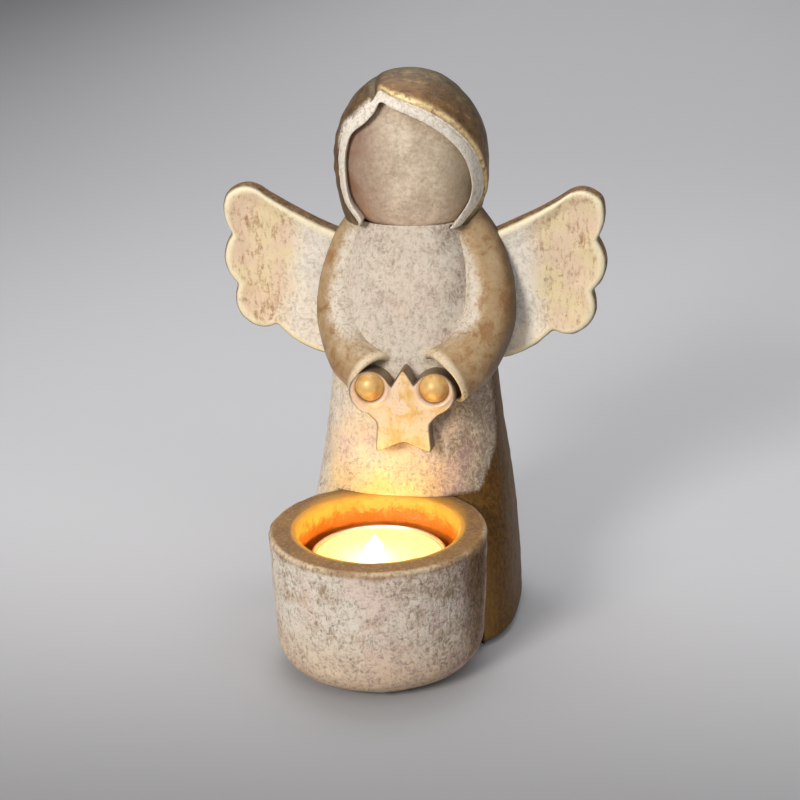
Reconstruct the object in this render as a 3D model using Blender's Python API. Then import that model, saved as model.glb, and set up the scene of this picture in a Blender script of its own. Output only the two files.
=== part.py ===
"""Resin angel figurine with a tealight cup.

The angel stands behind a round candle pot and holds a star.  Every casting, the tealight's
can, wax, wick and wick clip, and the foot pads are separate solids.  Lengths are in
millimetres; place() turns them into metres and moves the origin to the middle of the
footprint.  +Z is up, -Y is the side that the angel faces, and X = 0 is the angel's middle.
"""

import math

import bmesh
import bpy
import numpy as np

MM = 0.001

# ---------------------------------------------------------------- driving dimensions (mm)

GAP = 0.3                    # joint line left between two castings
SIDES = 40                   # points round a robe, hood or pot section

PAD_RADIUS = 6.0             # self-adhesive foot pads
PAD_THICKNESS = 0.9
BASE_Z = PAD_THICKNESS + GAP  # underside of the castings

CUP_HEIGHT = 40.4            # floor to rim
CUP_TOP_RADIUS = 30.4
CUP_FOOT_RADIUS = 29.2
CUP_FOOT_ROUNDING = 8.5
CUP_RIM_ROUNDING = 1.2
CUP_OFFSET_X = -4.2          # the pot stands a little to one side of the angel
WELL_RADIUS = 22.4
WELL_LIP = 1.4               # rounded inner lip of the well

LIGHT_RADIUS = 19.0          # a standard tealight is 38 mm across
LIGHT_HEIGHT = 16.6
LIGHT_BELOW_RIM = 7.7
CAN_WALL = 0.5
CAN_BEAD = 0.4               # the rolled edge stands out this far
WAX_BELOW_CAN = 1.1
WAX_GAP = 0.3
CLIP_RADIUS = 6.5
CLIP_THICKNESS = 0.5
CLIP_NECK_RADIUS = 1.6
CLIP_NECK_HEIGHT = 3.5
WICK_RADIUS = 0.8
WICK_ABOVE_WAX = 5.0

ROBE_POWER = 2.5             # superellipse power of the robe's sections
ROBE_FOOT_ROUNDING = 3.0
ROBE_SECTIONS = (            # height, half width, front, back
    (0.0, 32.4, 2.0, 71.5),
    (20.0, 31.2, 11.0, 71.2),
    (38.0, 28.9, 21.0, 70.5),
    (42.0, 28.2, 22.8, 70.3),
    (55.0, 26.2, 25.0, 69.4),
    (70.0, 24.4, 27.2, 68.2),
    (85.0, 22.8, 29.2, 66.8),
    (98.0, 21.0, 31.0, 65.4),
    (108.0, 18.8, 33.0, 63.6),
)
NECK_Z = 116.8               # flat top of the robe, where the head sits
NECK_SECTION = (15.4, 34.8, 61.5)

HEAD_CENTRE = (0.0, 48.0, 134.0)
HEAD_HALF_WIDTH = 22.0
HEAD_HALF_DEPTH = 20.5
HEAD_ABOVE = 25.6            # widest level to the crown
HEAD_BELOW = 34.7            # half height of the lower half, which the neck cuts off
DOWEL_RADIUS = 4.0           # spigot cast on the robe, in a socket in the hair
DOWEL_HEIGHT = 8.0
DOWEL_Y = 54.0
FACE_CENTRE = (1.2, 39.0, 133.2)
FACE_HALF = (17.4, 8.4, 17.4)
FACE_SEAT_GAP = GAP
CHIN_OPENING = 10.5          # half width of the hair's opening at the neck

SLEEVE_POINTS = (            # outwards, front to back, height, radius
    (11.5, 47.5, 119.0, 6.2),
    (17.2, 46.0, 109.0, 7.4),
    (20.3, 43.4, 98.0, 7.9),
    (20.4, 39.0, 87.4, 7.9),
    (16.6, 32.6, 79.6, 7.8),
    (10.4, 27.2, 75.4, 7.4),
)
SLEEVE_SCALE = {-1: 0.91, 1: 1.09}   # the angel's left sleeve is the fuller one
SLEEVE_SHIFT = {-1: -0.5, 1: 1.1}
SLEEVE_SIDES = 20
CUFF_DEPTH = 5.0             # hollow in the end of the sleeve, round the hand
CUFF_WALL = 1.8

HAND_RADIUS = 4.4
HAND_CENTRE = (9.2, 24.2, 73.8)

STAR_CENTRE = (0.3, 65.9)
STAR_RADIUS = 13.9
STAR_ARM_RADIUS = 15.8       # the two side points reach further than the other three
STAR_NOTCH_RADIUS = 8.0
STAR_FRONT = 20.4            # front face at the star's centre
STAR_THICKNESS = 8.5
STAR_LEAN = math.radians(5.0)
STAR_TIP_ROUNDING = 1.7
STAR_EDGE_ROUNDING = 0.9

WING_FRONT = 45.0
WING_THICKNESS = 7.0
WING_EDGE_ROUNDING = 1.4
WING_OUTLINE = (             # outwards, height, bulge of the arc to the next point
    (17.0, 111.0, 0.05),
    (43.0, 123.6, -0.45),
    (54.4, 123.4, -0.25),
    (53.2, 111.8, -0.42),
    (52.2, 96.2, -0.46),
    (47.2, 83.2, -0.22),
    (41.0, 84.2, -0.15),
    (28.0, 75.8, -0.06),
    (17.0, 74.0, 0.0),
)
TENON_HEIGHT = 14.0          # the wing's root goes into a slot in the robe's side
TENON_THICKNESS = 4.0
TENON_BOTTOM = 86.0
TENON_BACK = WING_FRONT + WING_THICKNESS
TENON_DEPTH = 7.0
TENON_ROOT = 15.0            # how far the tenon runs out into the wing, past the robe

# the middle of the footprint, from the pot's front to the robe's back
CENTRE_Y = (ROBE_SECTIONS[0][3] - CUP_TOP_RADIUS) / 2.0

PAINTS = {                   # colour, metallic, roughness
    "wash": ((0.60, 0.50, 0.42), 0.0, 0.85),
    "gold": ((0.52, 0.36, 0.18), 0.5, 0.55),
    "face": ((0.62, 0.49, 0.38), 0.0, 0.8),
    "pot": ((0.55, 0.46, 0.39), 0.0, 0.85),
    "can": ((0.80, 0.80, 0.79), 1.0, 0.35),
    "wax": ((0.95, 0.90, 0.72), 0.0, 0.5),
    "wick": ((0.75, 0.70, 0.62), 0.0, 0.9),
    "clip": ((0.60, 0.60, 0.60), 1.0, 0.4),
    "pad": ((0.12, 0.12, 0.12), 0.0, 0.9),
}


# ------------------------------------------------------------------------------- helpers

def place(point):
    """Millimetres from the pot's axis to metres from the middle of the footprint."""
    return (point[0] * MM, (point[1] - CENTRE_Y) * MM, point[2] * MM)


def material(name):
    """The Principled material of one paint or stuff."""
    made = bpy.data.materials.get(name)
    if made:
        return made
    colour, metallic, roughness = PAINTS[name]
    made = bpy.data.materials.new(name)
    made.use_nodes = True
    shader = made.node_tree.nodes["Principled BSDF"]
    shader.inputs["Base Color"].default_value = (*colour, 1.0)
    shader.inputs["Metallic"].default_value = metallic
    shader.inputs["Roughness"].default_value = roughness
    made.diffuse_color = (*colour, 1.0)
    return made


def finish(name, mesh_bm, paint):
    """Turn a bmesh in millimetres into a named object with its own material."""
    for vert in mesh_bm.verts:
        vert.co = place(vert.co)
    mesh_bm.normal_update()
    bmesh.ops.triangulate(mesh_bm, faces=mesh_bm.faces)
    bmesh.ops.recalc_face_normals(mesh_bm, faces=mesh_bm.faces)
    mesh = bpy.data.meshes.new(name)
    mesh_bm.to_mesh(mesh)
    mesh_bm.free()
    made = bpy.data.objects.new(name, mesh)
    bpy.context.scene.collection.objects.link(made)
    if paint:
        mesh.materials.append(material(paint))
    return made


def cutter(name, mesh_bm):
    """A hidden solid that only cuts others."""
    made = finish(name, mesh_bm, None)
    made.hide_render = True
    made.display_type = "WIRE"
    return made


def cut(target, tool, operation="DIFFERENCE"):
    """Add one exact Boolean to a piece."""
    modifier = target.modifiers.new(f"{operation.lower()}_{tool.name}", "BOOLEAN")
    modifier.operation = operation
    modifier.solver = "EXACT"
    modifier.object = tool


def skin(rings):
    """A closed solid through rings of equal count, capped flat at both ends."""
    solid = bmesh.new()
    loops = [[solid.verts.new(point) for point in ring] for ring in rings]
    count = len(loops[0])
    for lower, upper in zip(loops, loops[1:]):
        for i in range(count):
            j = (i + 1) % count
            solid.faces.new((lower[i], lower[j], upper[j], upper[i]))
    solid.faces.new(list(reversed(loops[0])))
    solid.faces.new(loops[-1])
    return solid


def superellipse(half_x, front, back, z, power=2.0, count=SIDES, middle_x=0.0):
    """One level section: |x/a|^n + |y/b|^n = 1 between its front and its back."""
    middle, half_y = (front + back) / 2.0, (back - front) / 2.0
    ring = []
    for i in range(count):
        angle = 2.0 * math.pi * i / count
        c, s = math.cos(angle), math.sin(angle)
        x = math.copysign(abs(c) ** (2.0 / power), c)
        y = math.copysign(abs(s) ** (2.0 / power), s)
        ring.append((middle_x + half_x * x, middle + half_y * y, z))
    return ring


def lathe(profile, axis_x=0.0, axis_y=0.0, count=SIDES, closed=False):
    """Turn a profile of (radius, height) points about an upright axis.

    An open profile starts and ends on the axis; a closed one makes a ring.
    """
    solid = bmesh.new()
    rows = []
    for radius, height in profile:
        if radius == 0.0:
            rows.append([solid.verts.new((axis_x, axis_y, height))])
            continue
        row = []
        for i in range(count):
            angle = 2.0 * math.pi * i / count
            x = axis_x + radius * math.cos(angle)
            y = axis_y + radius * math.sin(angle)
            row.append(solid.verts.new((x, y, height)))
        rows.append(row)
    pairs = list(zip(rows, rows[1:]))
    if closed:
        pairs.append((rows[-1], rows[0]))
    for a, b in pairs:
        for i in range(count):
            j = (i + 1) % count
            corners = [a[i % len(a)], a[j % len(a)], b[j % len(b)], b[i % len(b)]]
            unique = list(dict.fromkeys(corners))
            solid.faces.new(unique)
    return solid


def rounded_corner(radius, corner, start_angle, end_angle, steps=4):
    """Points of an arc about a corner's centre, in (radius, height)."""
    points = []
    for i in range(steps + 1):
        angle = math.radians(start_angle + (end_angle - start_angle) * i / steps)
        points.append((corner[0] + radius * math.cos(angle), corner[1] + radius * math.sin(angle)))
    return points


def ellipsoid(centre, half, rows=12, count=28):
    """A ball with its own half size along each axis."""
    solid = bmesh.new()
    bmesh.ops.create_uvsphere(solid, u_segments=count, v_segments=rows, radius=1.0)
    for vert in solid.verts:
        vert.co = [centre[k] + half[k] * vert.co[k] for k in range(3)]
    return solid


def box(low, high):
    """A plain block between two corners."""
    solid = bmesh.new()
    bmesh.ops.create_cube(solid, size=1.0)
    for vert in solid.verts:
        vert.co = [(low[k] + high[k]) / 2.0 + vert.co[k] * (high[k] - low[k]) for k in range(3)]
    return solid


def arc_outline(points, steps=5):
    """A closed outline whose sides are arcs; bulge is the arc's height over half its chord."""
    outline = []
    for (x0, z0, bulge), (x1, z1, _) in zip(points, points[1:] + points[:1]):
        dx, dz = x1 - x0, z1 - z0
        count = steps if bulge else 1
        for i in range(count):
            t = i / count
            rise = bulge * 4.0 * t * (1.0 - t) / 2.0
            outline.append((x0 + dx * t + dz * rise, z0 + dz * t - dx * rise))
    return outline


def inset(outline, distance):
    """An outline moved inwards; its points run anticlockwise in X and Z."""
    points = np.array(outline)
    along = np.roll(points, -1, axis=0) - points
    along /= np.linalg.norm(along, axis=1)[:, None]
    normals = np.stack([-along[:, 1], along[:, 0]], axis=1)
    mitre = normals + np.roll(normals, 1, axis=0)
    mitre /= np.linalg.norm(mitre, axis=1)[:, None]
    mitre /= np.sum(mitre * normals, axis=1)[:, None]
    return points + mitre * distance


def plate(outline, front, back, rounding=0.0):
    """An outline in X and Z given a thickness, with its front and back edges rounded."""
    turn = sum(x0 * z1 - x1 * z0 for (x0, z0), (x1, z1) in zip(outline, outline[1:] + outline[:1]))
    if turn < 0.0:
        outline = outline[::-1]
    steps = [(0.0, 0.0)]
    if rounding:
        steps = [(1.0, 0.0), (0.3, 0.3), (0.0, 1.0)]
    rows = [(inset(outline, rounding * i), front + rounding * d) for i, d in steps]
    rows += [(inset(outline, rounding * i), back - rounding * d) for i, d in reversed(steps)]
    return skin([[(x, y, z) for x, z in ring] for ring, y in rows])


# ---------------------------------------------------------------------------------- robe

def robe_section(z):
    """Half width, front and back of the robe at a height, between the stated sections."""
    table = ROBE_SECTIONS + ((NECK_Z, *NECK_SECTION),)
    heights = [row[0] for row in table]
    return [float(np.interp(z, heights, [row[k] for row in table])) for k in (1, 2, 3)]


def robe_solid(grow=0.0):
    """The robe's outside, or the same solid grown on every side to cut its neighbours."""
    levels = [(BASE_Z, ROBE_FOOT_ROUNDING), (BASE_Z + 0.9, ROBE_FOOT_ROUNDING * 0.35)]
    levels.append((BASE_Z + ROBE_FOOT_ROUNDING, 0.0))
    levels += [(row[0], 0.0) for row in ROBE_SECTIONS[1:]]
    levels.append((NECK_Z, 0.0))
    rings = []
    for number, (z, inset_by) in enumerate(levels):
        half_x, front, back = robe_section(z)
        shift = grow - inset_by
        rise = {0: -grow, len(levels) - 1: grow}.get(number, 0.0)
        rings.append(superellipse(half_x + shift, front - shift, back + shift, z + rise, ROBE_POWER))
    return skin(rings)


def tenon_box(side, grow=0.0):
    """The wing's square root, from inside the robe out into the wing."""
    mid_z = TENON_BOTTOM + TENON_HEIGHT / 2.0
    half_x = robe_section(mid_z)[0]
    inner, outer = half_x - TENON_DEPTH - grow, half_x + TENON_ROOT
    low = (min(side * inner, side * outer), TENON_BACK - TENON_THICKNESS - grow, TENON_BOTTOM - grow)
    high = (max(side * inner, side * outer), TENON_BACK + grow, TENON_BOTTOM + TENON_HEIGHT + grow)
    return box(low, high)


def make_robe():
    """Body, shoulders and skirt in one casting, recessed for the pot and slotted for the wings."""
    robe = finish("robe", robe_solid(), "wash")
    dowel = lathe([(0.0, NECK_Z - 4.0), (DOWEL_RADIUS, NECK_Z - 4.0),
                   (DOWEL_RADIUS, NECK_Z + DOWEL_HEIGHT), (0.0, NECK_Z + DOWEL_HEIGHT)],
                  0.0, DOWEL_Y, 20)
    cut(robe, cutter("cut_dowel", dowel), "UNION")
    cut(robe, cutter("cut_pot_recess", pot_solid(GAP)))
    cut(robe, cutter("cut_face_seat", ellipsoid(FACE_CENTRE, [h + FACE_SEAT_GAP for h in FACE_HALF])))
    for side, word in ((-1, "left"), (1, "right")):
        cut(robe, cutter(f"cut_slot_{word}", tenon_box(side, GAP)))
    return robe


# ----------------------------------------------------------------------------------- pot

def pot_solid(grow=0.0):
    """The pot's outside as a full round drum; grown, it cuts the recess in the robe."""
    foot = CUP_FOOT_RADIUS + grow
    rounding = CUP_FOOT_ROUNDING
    profile = [(0.0, BASE_Z - grow)]
    if grow:
        profile = [(0.0, -1.0), (foot - rounding, -1.0)]
    profile += rounded_corner(rounding, (foot - rounding, BASE_Z - grow + rounding), -90, 0, 6)
    profile += rounded_corner(CUP_RIM_ROUNDING, (CUP_TOP_RADIUS + grow - CUP_RIM_ROUNDING,
                                                 CUP_HEIGHT + grow - CUP_RIM_ROUNDING), 0, 90, 3)
    profile.append((0.0, CUP_HEIGHT + grow))
    return lathe(profile, CUP_OFFSET_X, 0.0, SIDES + 8)


def make_cup():
    """The round candle pot with its well."""
    cup = finish("candle_cup", pot_solid(), "pot")
    floor = CUP_HEIGHT - LIGHT_BELOW_RIM - LIGHT_HEIGHT - GAP
    lip = WELL_LIP
    well = [(0.0, floor), (WELL_RADIUS, floor)]
    well += [(WELL_RADIUS + lip - lip * math.cos(a), CUP_HEIGHT - lip + lip * math.sin(a))
             for a in (0.0, math.pi / 6.0, math.pi / 3.0, math.pi / 2.0)]
    well += [(WELL_RADIUS + lip, CUP_HEIGHT + 2.0), (0.0, CUP_HEIGHT + 2.0)]
    cut(cup, cutter("cut_well", lathe(well, CUP_OFFSET_X, 0.0, SIDES + 8)))
    return cup


def make_tealight():
    """Aluminium can, wax with its bore, wick clip and wick."""
    top = CUP_HEIGHT - LIGHT_BELOW_RIM
    bottom = top - LIGHT_HEIGHT
    inner = LIGHT_RADIUS - CAN_BEAD - CAN_WALL
    can = [(0.0, bottom), (LIGHT_RADIUS - CAN_BEAD, bottom), (LIGHT_RADIUS - CAN_BEAD, top - 1.0),
           (LIGHT_RADIUS, top - 0.7), (LIGHT_RADIUS, top - 0.1), (LIGHT_RADIUS - 0.2, top),
           (inner + 0.1, top), (inner, top - 0.2), (inner, bottom + CAN_WALL), (0.0, bottom + CAN_WALL)]
    finish("tealight_can", lathe(can, CUP_OFFSET_X, 0.0, SIDES), "can")

    clip_bottom = bottom + CAN_WALL + GAP
    clip_top = clip_bottom + CLIP_THICKNESS
    bore = WICK_RADIUS + WAX_GAP
    clip = [(bore, clip_bottom), (CLIP_RADIUS, clip_bottom), (CLIP_RADIUS, clip_top),
            (CLIP_NECK_RADIUS, clip_top + 0.4), (CLIP_NECK_RADIUS, clip_top + CLIP_NECK_HEIGHT),
            (bore, clip_top + CLIP_NECK_HEIGHT)]
    finish("wick_clip", lathe(clip, CUP_OFFSET_X, 0.0, 24, True), "clip")

    wax_top = top - WAX_BELOW_CAN
    wax_radius = inner - WAX_GAP
    neck = CLIP_NECK_RADIUS + WAX_GAP
    wax = [(wax_radius, clip_bottom), (wax_radius, wax_top), (bore, wax_top),
           (bore, clip_top + CLIP_NECK_HEIGHT + WAX_GAP), (neck, clip_top + CLIP_NECK_HEIGHT + WAX_GAP),
           (neck, clip_top + 0.4 + WAX_GAP), (CLIP_RADIUS + WAX_GAP, clip_top + WAX_GAP),
           (CLIP_RADIUS + WAX_GAP, clip_bottom)]
    finish("tealight_wax", lathe(wax, CUP_OFFSET_X, 0.0, 36, True), "wax")

    wick = [(0.0, clip_bottom), (WICK_RADIUS, clip_bottom), (WICK_RADIUS, wax_top + WICK_ABOVE_WAX - 0.3),
            (WICK_RADIUS * 0.6, wax_top + WICK_ABOVE_WAX), (0.0, wax_top + WICK_ABOVE_WAX)]
    finish("wick", lathe(wick, CUP_OFFSET_X, 0.0, 12), "wick")


# ---------------------------------------------------------------------------------- head

def hood_solid(grow=0.0):
    """The hair's egg shape above the neck: one half ellipse up, a longer one down."""
    x, y, z = HEAD_CENTRE
    bottom = NECK_Z + GAP - grow
    levels = [bottom + (z - bottom) * i / 5.0 for i in range(5)]
    levels += [z + HEAD_ABOVE * math.sin(math.radians(a)) for a in (0, 15, 30, 45, 58, 70, 80, 86)]
    rings = []
    for level in levels:
        reach = HEAD_BELOW if level < z else HEAD_ABOVE
        share = math.sqrt(1.0 - ((level - z) / reach) ** 2)
        half_x = HEAD_HALF_WIDTH * share + grow
        half_y = HEAD_HALF_DEPTH * share + grow
        height = level + (grow if level > z else 0.0)
        rings.append(superellipse(half_x, y - half_y, y + half_y, height, 2.1, 36, x))
    return skin(rings)


def face_pocket():
    """The face's seat: an ellipsoid's back half with clearance, drawn straight out to the front."""
    x, y, z = FACE_CENTRE
    a, b, c = [half + FACE_SEAT_GAP for half in FACE_HALF]
    rows = [(y - HEAD_HALF_DEPTH * 1.5, 1.0)]
    rows += [(y + b * math.sin(math.radians(t)), math.cos(math.radians(t))) for t in range(0, 86, 12)]
    rings = []
    for depth, share in rows:
        ring = []
        for i in range(32):
            angle = 2.0 * math.pi * i / 32
            ring.append((x + a * share * math.cos(angle), depth, z + c * share * math.sin(angle)))
        rings.append(ring)
    return skin(rings)


def make_head():
    """Face ball, and the hair as a thick shell round it."""
    x, y, z = FACE_CENTRE
    hood = finish("hood", hood_solid(), "gold")
    cut(hood, cutter("cut_face_pocket", face_pocket()))
    chin = box((x - CHIN_OPENING, y - HEAD_HALF_DEPTH * 1.5, NECK_Z - 2.0),
               (x + CHIN_OPENING, y, z - FACE_HALF[2] * 0.5))
    cut(hood, cutter("cut_chin", chin))
    socket = lathe([(0.0, NECK_Z - 2.0), (DOWEL_RADIUS + GAP, NECK_Z - 2.0),
                    (DOWEL_RADIUS + GAP, NECK_Z + DOWEL_HEIGHT + GAP),
                    (0.0, NECK_Z + DOWEL_HEIGHT + GAP)], 0.0, DOWEL_Y, 20)
    cut(hood, cutter("cut_socket", socket))
    finish("face", ellipsoid(FACE_CENTRE, FACE_HALF), "face")


# ------------------------------------------------------------------- arms, hands and star

def sleeve_path(samples=13):
    """Rows of centre and radius along the sleeve: smooth curves through the stated points."""
    points = np.array(SLEEVE_POINTS)
    last = len(points) - 1
    rows = []
    for t in np.linspace(0.0, last, samples):
        i = min(int(t), last - 1)
        f = t - i
        p0, p1, p2, p3 = points[max(i - 1, 0)], points[i], points[i + 1], points[min(i + 2, last)]
        rows.append(0.5 * (2 * p1 + (p2 - p0) * f + (2 * p0 - 5 * p1 + 4 * p2 - p3) * f ** 2
                           + (3 * p1 - p0 - 3 * p2 + p3) * f ** 3))
    return np.array(rows)


def tube(rows, side, grow=0.0):
    """A round tube through rows of centre and radius, on one side of the angel."""
    centres = rows[:, :3].copy()
    tangents = np.gradient(centres, axis=0)
    tangents /= np.linalg.norm(tangents, axis=1)[:, None]
    centres[-1] += tangents[-1] * grow
    rings = []
    for centre, tangent, width in zip(centres, tangents, rows[:, 3]):
        out = np.array([1.0, 0.0, 0.0]) - tangent[0] * tangent
        out /= np.linalg.norm(out)
        across = np.cross(tangent, out)
        size = width * SLEEVE_SCALE[side] + grow
        ring = []
        for i in range(SLEEVE_SIDES):
            angle = 2.0 * math.pi * i / SLEEVE_SIDES
            point = centre + size * (math.cos(angle) * out + math.sin(angle) * across)
            ring.append((side * (point[0] + SLEEVE_SHIFT[side]), point[1], point[2]))
        rings.append(ring)
    return skin(rings)


def cuff_hollow(side):
    """The round hollow in the sleeve's end, a little proud of the mouth."""
    rows = sleeve_path()
    end, before = rows[-1], rows[-2]
    along = (end[:3] - before[:3]) / np.linalg.norm(end[:3] - before[:3])
    radius = end[3] - CUFF_WALL
    deep = (*(end[:3] - along * CUFF_DEPTH), radius)
    mouth = (*(end[:3] + along * CUFF_DEPTH), radius)
    return tube(np.array([deep, mouth]), side)


def hand_centre(side):
    return (side * HAND_CENTRE[0], HAND_CENTRE[1], HAND_CENTRE[2])


def ball(centre, radius):
    return ellipsoid(centre, (radius, radius, radius), 12, 20)


def star_outline(grow=0.0):
    """Five rounded tips with a sharp notch between each two."""
    notch_rise = STAR_NOTCH_RADIUS * math.sin(math.radians(36.0))
    notch_reach = STAR_NOTCH_RADIUS * math.cos(math.radians(36.0))
    outline = []
    for i in range(5):
        heading = 90.0 + 72.0 * i
        radius = STAR_ARM_RADIUS if i in (1, 4) else STAR_RADIUS
        half_tip = math.degrees(math.atan2(notch_rise, radius - notch_reach))
        centre = radius - STAR_TIP_ROUNDING
        for turn in (half_tip - 90.0, -22.0, 22.0, 90.0 - half_tip):
            a, b = math.radians(heading), math.radians(heading + turn)
            reach = STAR_TIP_ROUNDING + grow
            outline.append((centre * math.cos(a) + reach * math.cos(b),
                            centre * math.sin(a) + reach * math.sin(b)))
        a = math.radians(heading + 36.0)
        reach = STAR_NOTCH_RADIUS + grow * 1.2
        outline.append((reach * math.cos(a), reach * math.sin(a)))
    return outline


def star_solid(grow=0.0):
    """A fat five-pointed star, leaning back with the body."""
    solid = plate(star_outline(grow), -grow, STAR_THICKNESS + grow, STAR_EDGE_ROUNDING)
    c, s = math.cos(STAR_LEAN), math.sin(STAR_LEAN)
    for vert in solid.verts:
        x, y, z = vert.co
        vert.co = (STAR_CENTRE[0] + x, STAR_FRONT + y * c + z * s, STAR_CENTRE[1] + z * c - y * s)
    return solid


def make_arms(robe_grown, hood_grown, tenons):
    """Sleeves with open cuffs, and a ball hand in each cuff."""
    star_grown = cutter("cut_star_grown", star_solid(GAP))
    for side, word in ((-1, "left"), (1, "right")):
        sleeve = finish(f"sleeve_{word}", tube(sleeve_path(), side), "gold")
        cut(sleeve, robe_grown)
        cut(sleeve, hood_grown)
        cut(sleeve, tenons[side])
        cut(sleeve, cutter(f"cut_cuff_{word}", cuff_hollow(side)))
        cut(sleeve, cutter(f"cut_hand_seat_{word}", ball(hand_centre(side), HAND_RADIUS + GAP)))
        cut(sleeve, star_grown)
        hand = finish(f"hand_{word}", ball(hand_centre(side), HAND_RADIUS), "gold")
        cut(hand, robe_grown)


def make_star(robe_grown):
    """The star, with its back on the robe and a hollow for each hand."""
    star = finish("star", star_solid(), "gold")
    cut(star, robe_grown)
    for side, word in ((-1, "left"), (1, "right")):
        cut(star, cutter(f"cut_star_hand_{word}", ball(hand_centre(side), HAND_RADIUS + GAP)))


# --------------------------------------------------------------------------------- wings

def make_wings(robe_grown, hood_grown):
    """Scalloped wings, each with a tenon in the robe's side."""
    for side, word in ((-1, "left"), (1, "right")):
        outline = arc_outline(WING_OUTLINE)
        if side < 0:
            outline = [(-x, z) for x, z in reversed(outline)]
        solid = plate(outline, WING_FRONT, WING_FRONT + WING_THICKNESS, WING_EDGE_ROUNDING)
        wing = finish(f"wing_{word}", solid, "wash")
        cut(wing, robe_grown)
        cut(wing, hood_grown)
        cut(wing, cutter(f"cut_sleeve_{word}", tube(sleeve_path(), side, GAP)))
        cut(wing, cutter(f"add_tenon_{word}", tenon_box(side)), "UNION")


# ---------------------------------------------------------------------------------- pads

def make_pads():
    """Four thin anti-slip pads, two under the pot and two under the robe."""
    pot_reach = (CUP_FOOT_RADIUS - CUP_FOOT_ROUNDING - PAD_RADIUS) * 0.98
    robe_half, robe_front, robe_back = robe_section(0.0)
    robe_reach = robe_half - ROBE_FOOT_ROUNDING - PAD_RADIUS - 5.0
    spots = [(CUP_OFFSET_X - pot_reach, 0.0), (CUP_OFFSET_X + pot_reach, 0.0)]
    spots += [(-robe_reach, robe_back - PAD_RADIUS - 11.0), (robe_reach, robe_back - PAD_RADIUS - 11.0)]
    for number, (x, y) in enumerate(spots, 1):
        profile = [(0.0, 0.0), (PAD_RADIUS, 0.0), (PAD_RADIUS, PAD_THICKNESS), (0.0, PAD_THICKNESS)]
        finish(f"foot_pad_{number}", lathe(profile, x, y, 24), "pad")


def main():
    for old in list(bpy.data.objects):
        bpy.data.objects.remove(old, do_unlink=True)
    robe_grown = cutter("cut_robe_grown", robe_solid(GAP))
    hood_grown = cutter("cut_hood_grown", hood_solid(GAP))
    tenons = {side: cutter(f"cut_tenon_{side}", tenon_box(side, GAP)) for side in (-1, 1)}
    make_robe()
    make_cup()
    make_tealight()
    make_head()
    make_arms(robe_grown, hood_grown, tenons)
    make_star(robe_grown)
    make_wings(robe_grown, hood_grown)
    make_pads()


main()
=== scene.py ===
"""Resin angel figurine with a tealight: its visible surfaces, its finishes and a studio stage.

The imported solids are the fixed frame. Shapes are worked out in millimetres with the pot's axis
near the origin, +Z up and -Y the side the angel faces, and place() puts them in the row frame.
"""

import itertools
import math

import bpy
import numpy as np
from mathutils import Matrix, Vector


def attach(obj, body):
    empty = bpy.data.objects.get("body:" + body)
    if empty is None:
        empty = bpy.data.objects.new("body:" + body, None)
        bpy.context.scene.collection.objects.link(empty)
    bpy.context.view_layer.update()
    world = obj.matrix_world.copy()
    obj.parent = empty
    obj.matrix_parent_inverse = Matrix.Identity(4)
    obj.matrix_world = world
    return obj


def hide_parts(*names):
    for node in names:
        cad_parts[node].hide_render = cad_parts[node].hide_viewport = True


bl_info = {
    "name": "Angel Tealight Figurine",
    "version": (1, 0, 0),
    "blender": (4, 5, 0),
    "location": "3D View > Sidebar > Angel",
    "description": "Builds the visible pieces, finishes and stage of a resin angel with a tealight",
    "category": "Object",
}

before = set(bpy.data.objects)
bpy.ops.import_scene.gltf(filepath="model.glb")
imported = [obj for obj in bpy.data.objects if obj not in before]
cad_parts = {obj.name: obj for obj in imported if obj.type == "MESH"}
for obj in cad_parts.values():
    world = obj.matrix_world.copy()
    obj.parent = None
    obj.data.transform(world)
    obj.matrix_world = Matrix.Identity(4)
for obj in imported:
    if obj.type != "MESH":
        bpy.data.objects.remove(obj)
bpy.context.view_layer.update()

MM = 0.001
FOOTPRINT_MIDDLE = 20.55     # the row frame's Y = 0, in figure millimetres
SHARP_EDGE = math.radians(50.0)
FIGURE = "figurine"
LIGHT = "tealight"

# ------------------------------------------------------------------ shape tables (mm)

BASE_Z = 1.2
NECK_Z = 116.8
POT_X = -4.2
POT_HEIGHT = 40.4
POT_FOOT = 29.2
POT_TOP = 30.4
POT_FOOT_ROUNDING = 8.5
JOINT_LINE = 0.3
RIM_ROUND = 1.3
LIP_ROUND = 1.6
WELL_ROUND = 1.5
WELL_RADIUS = 22.4
WELL_FLOOR = 15.8

ROBE_SECTIONS = (            # height, half width, front, back
    (0.0, 32.4, 2.0, 71.5), (20.0, 31.2, 11.0, 71.2), (38.0, 28.9, 21.0, 70.5),
    (55.0, 26.2, 25.0, 69.4), (70.0, 24.4, 27.2, 68.2), (85.0, 22.8, 29.2, 66.8),
    (98.0, 21.0, 31.0, 65.4), (108.0, 18.8, 32.8, 63.6), (116.8, 15.4, 34.0, 61.5),
)
ROBE_POWER = 2.5
ROBE_FOOT_ROUND = 1.6
NECK_ROUND = 0.6
ROBE_MIDDLE = (0.0, 50.0, 60.0)
WASH_SIDE = (-0.08, -0.98, 0.0)              # the way that the whitewashed front faces
# The lower right flank is bronze paint and partly painted shade, away from the key light.
BRONZE_Y, BRONZE_Z = 27.0, 40.0              # the bronze flank rises from here to the back

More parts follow.
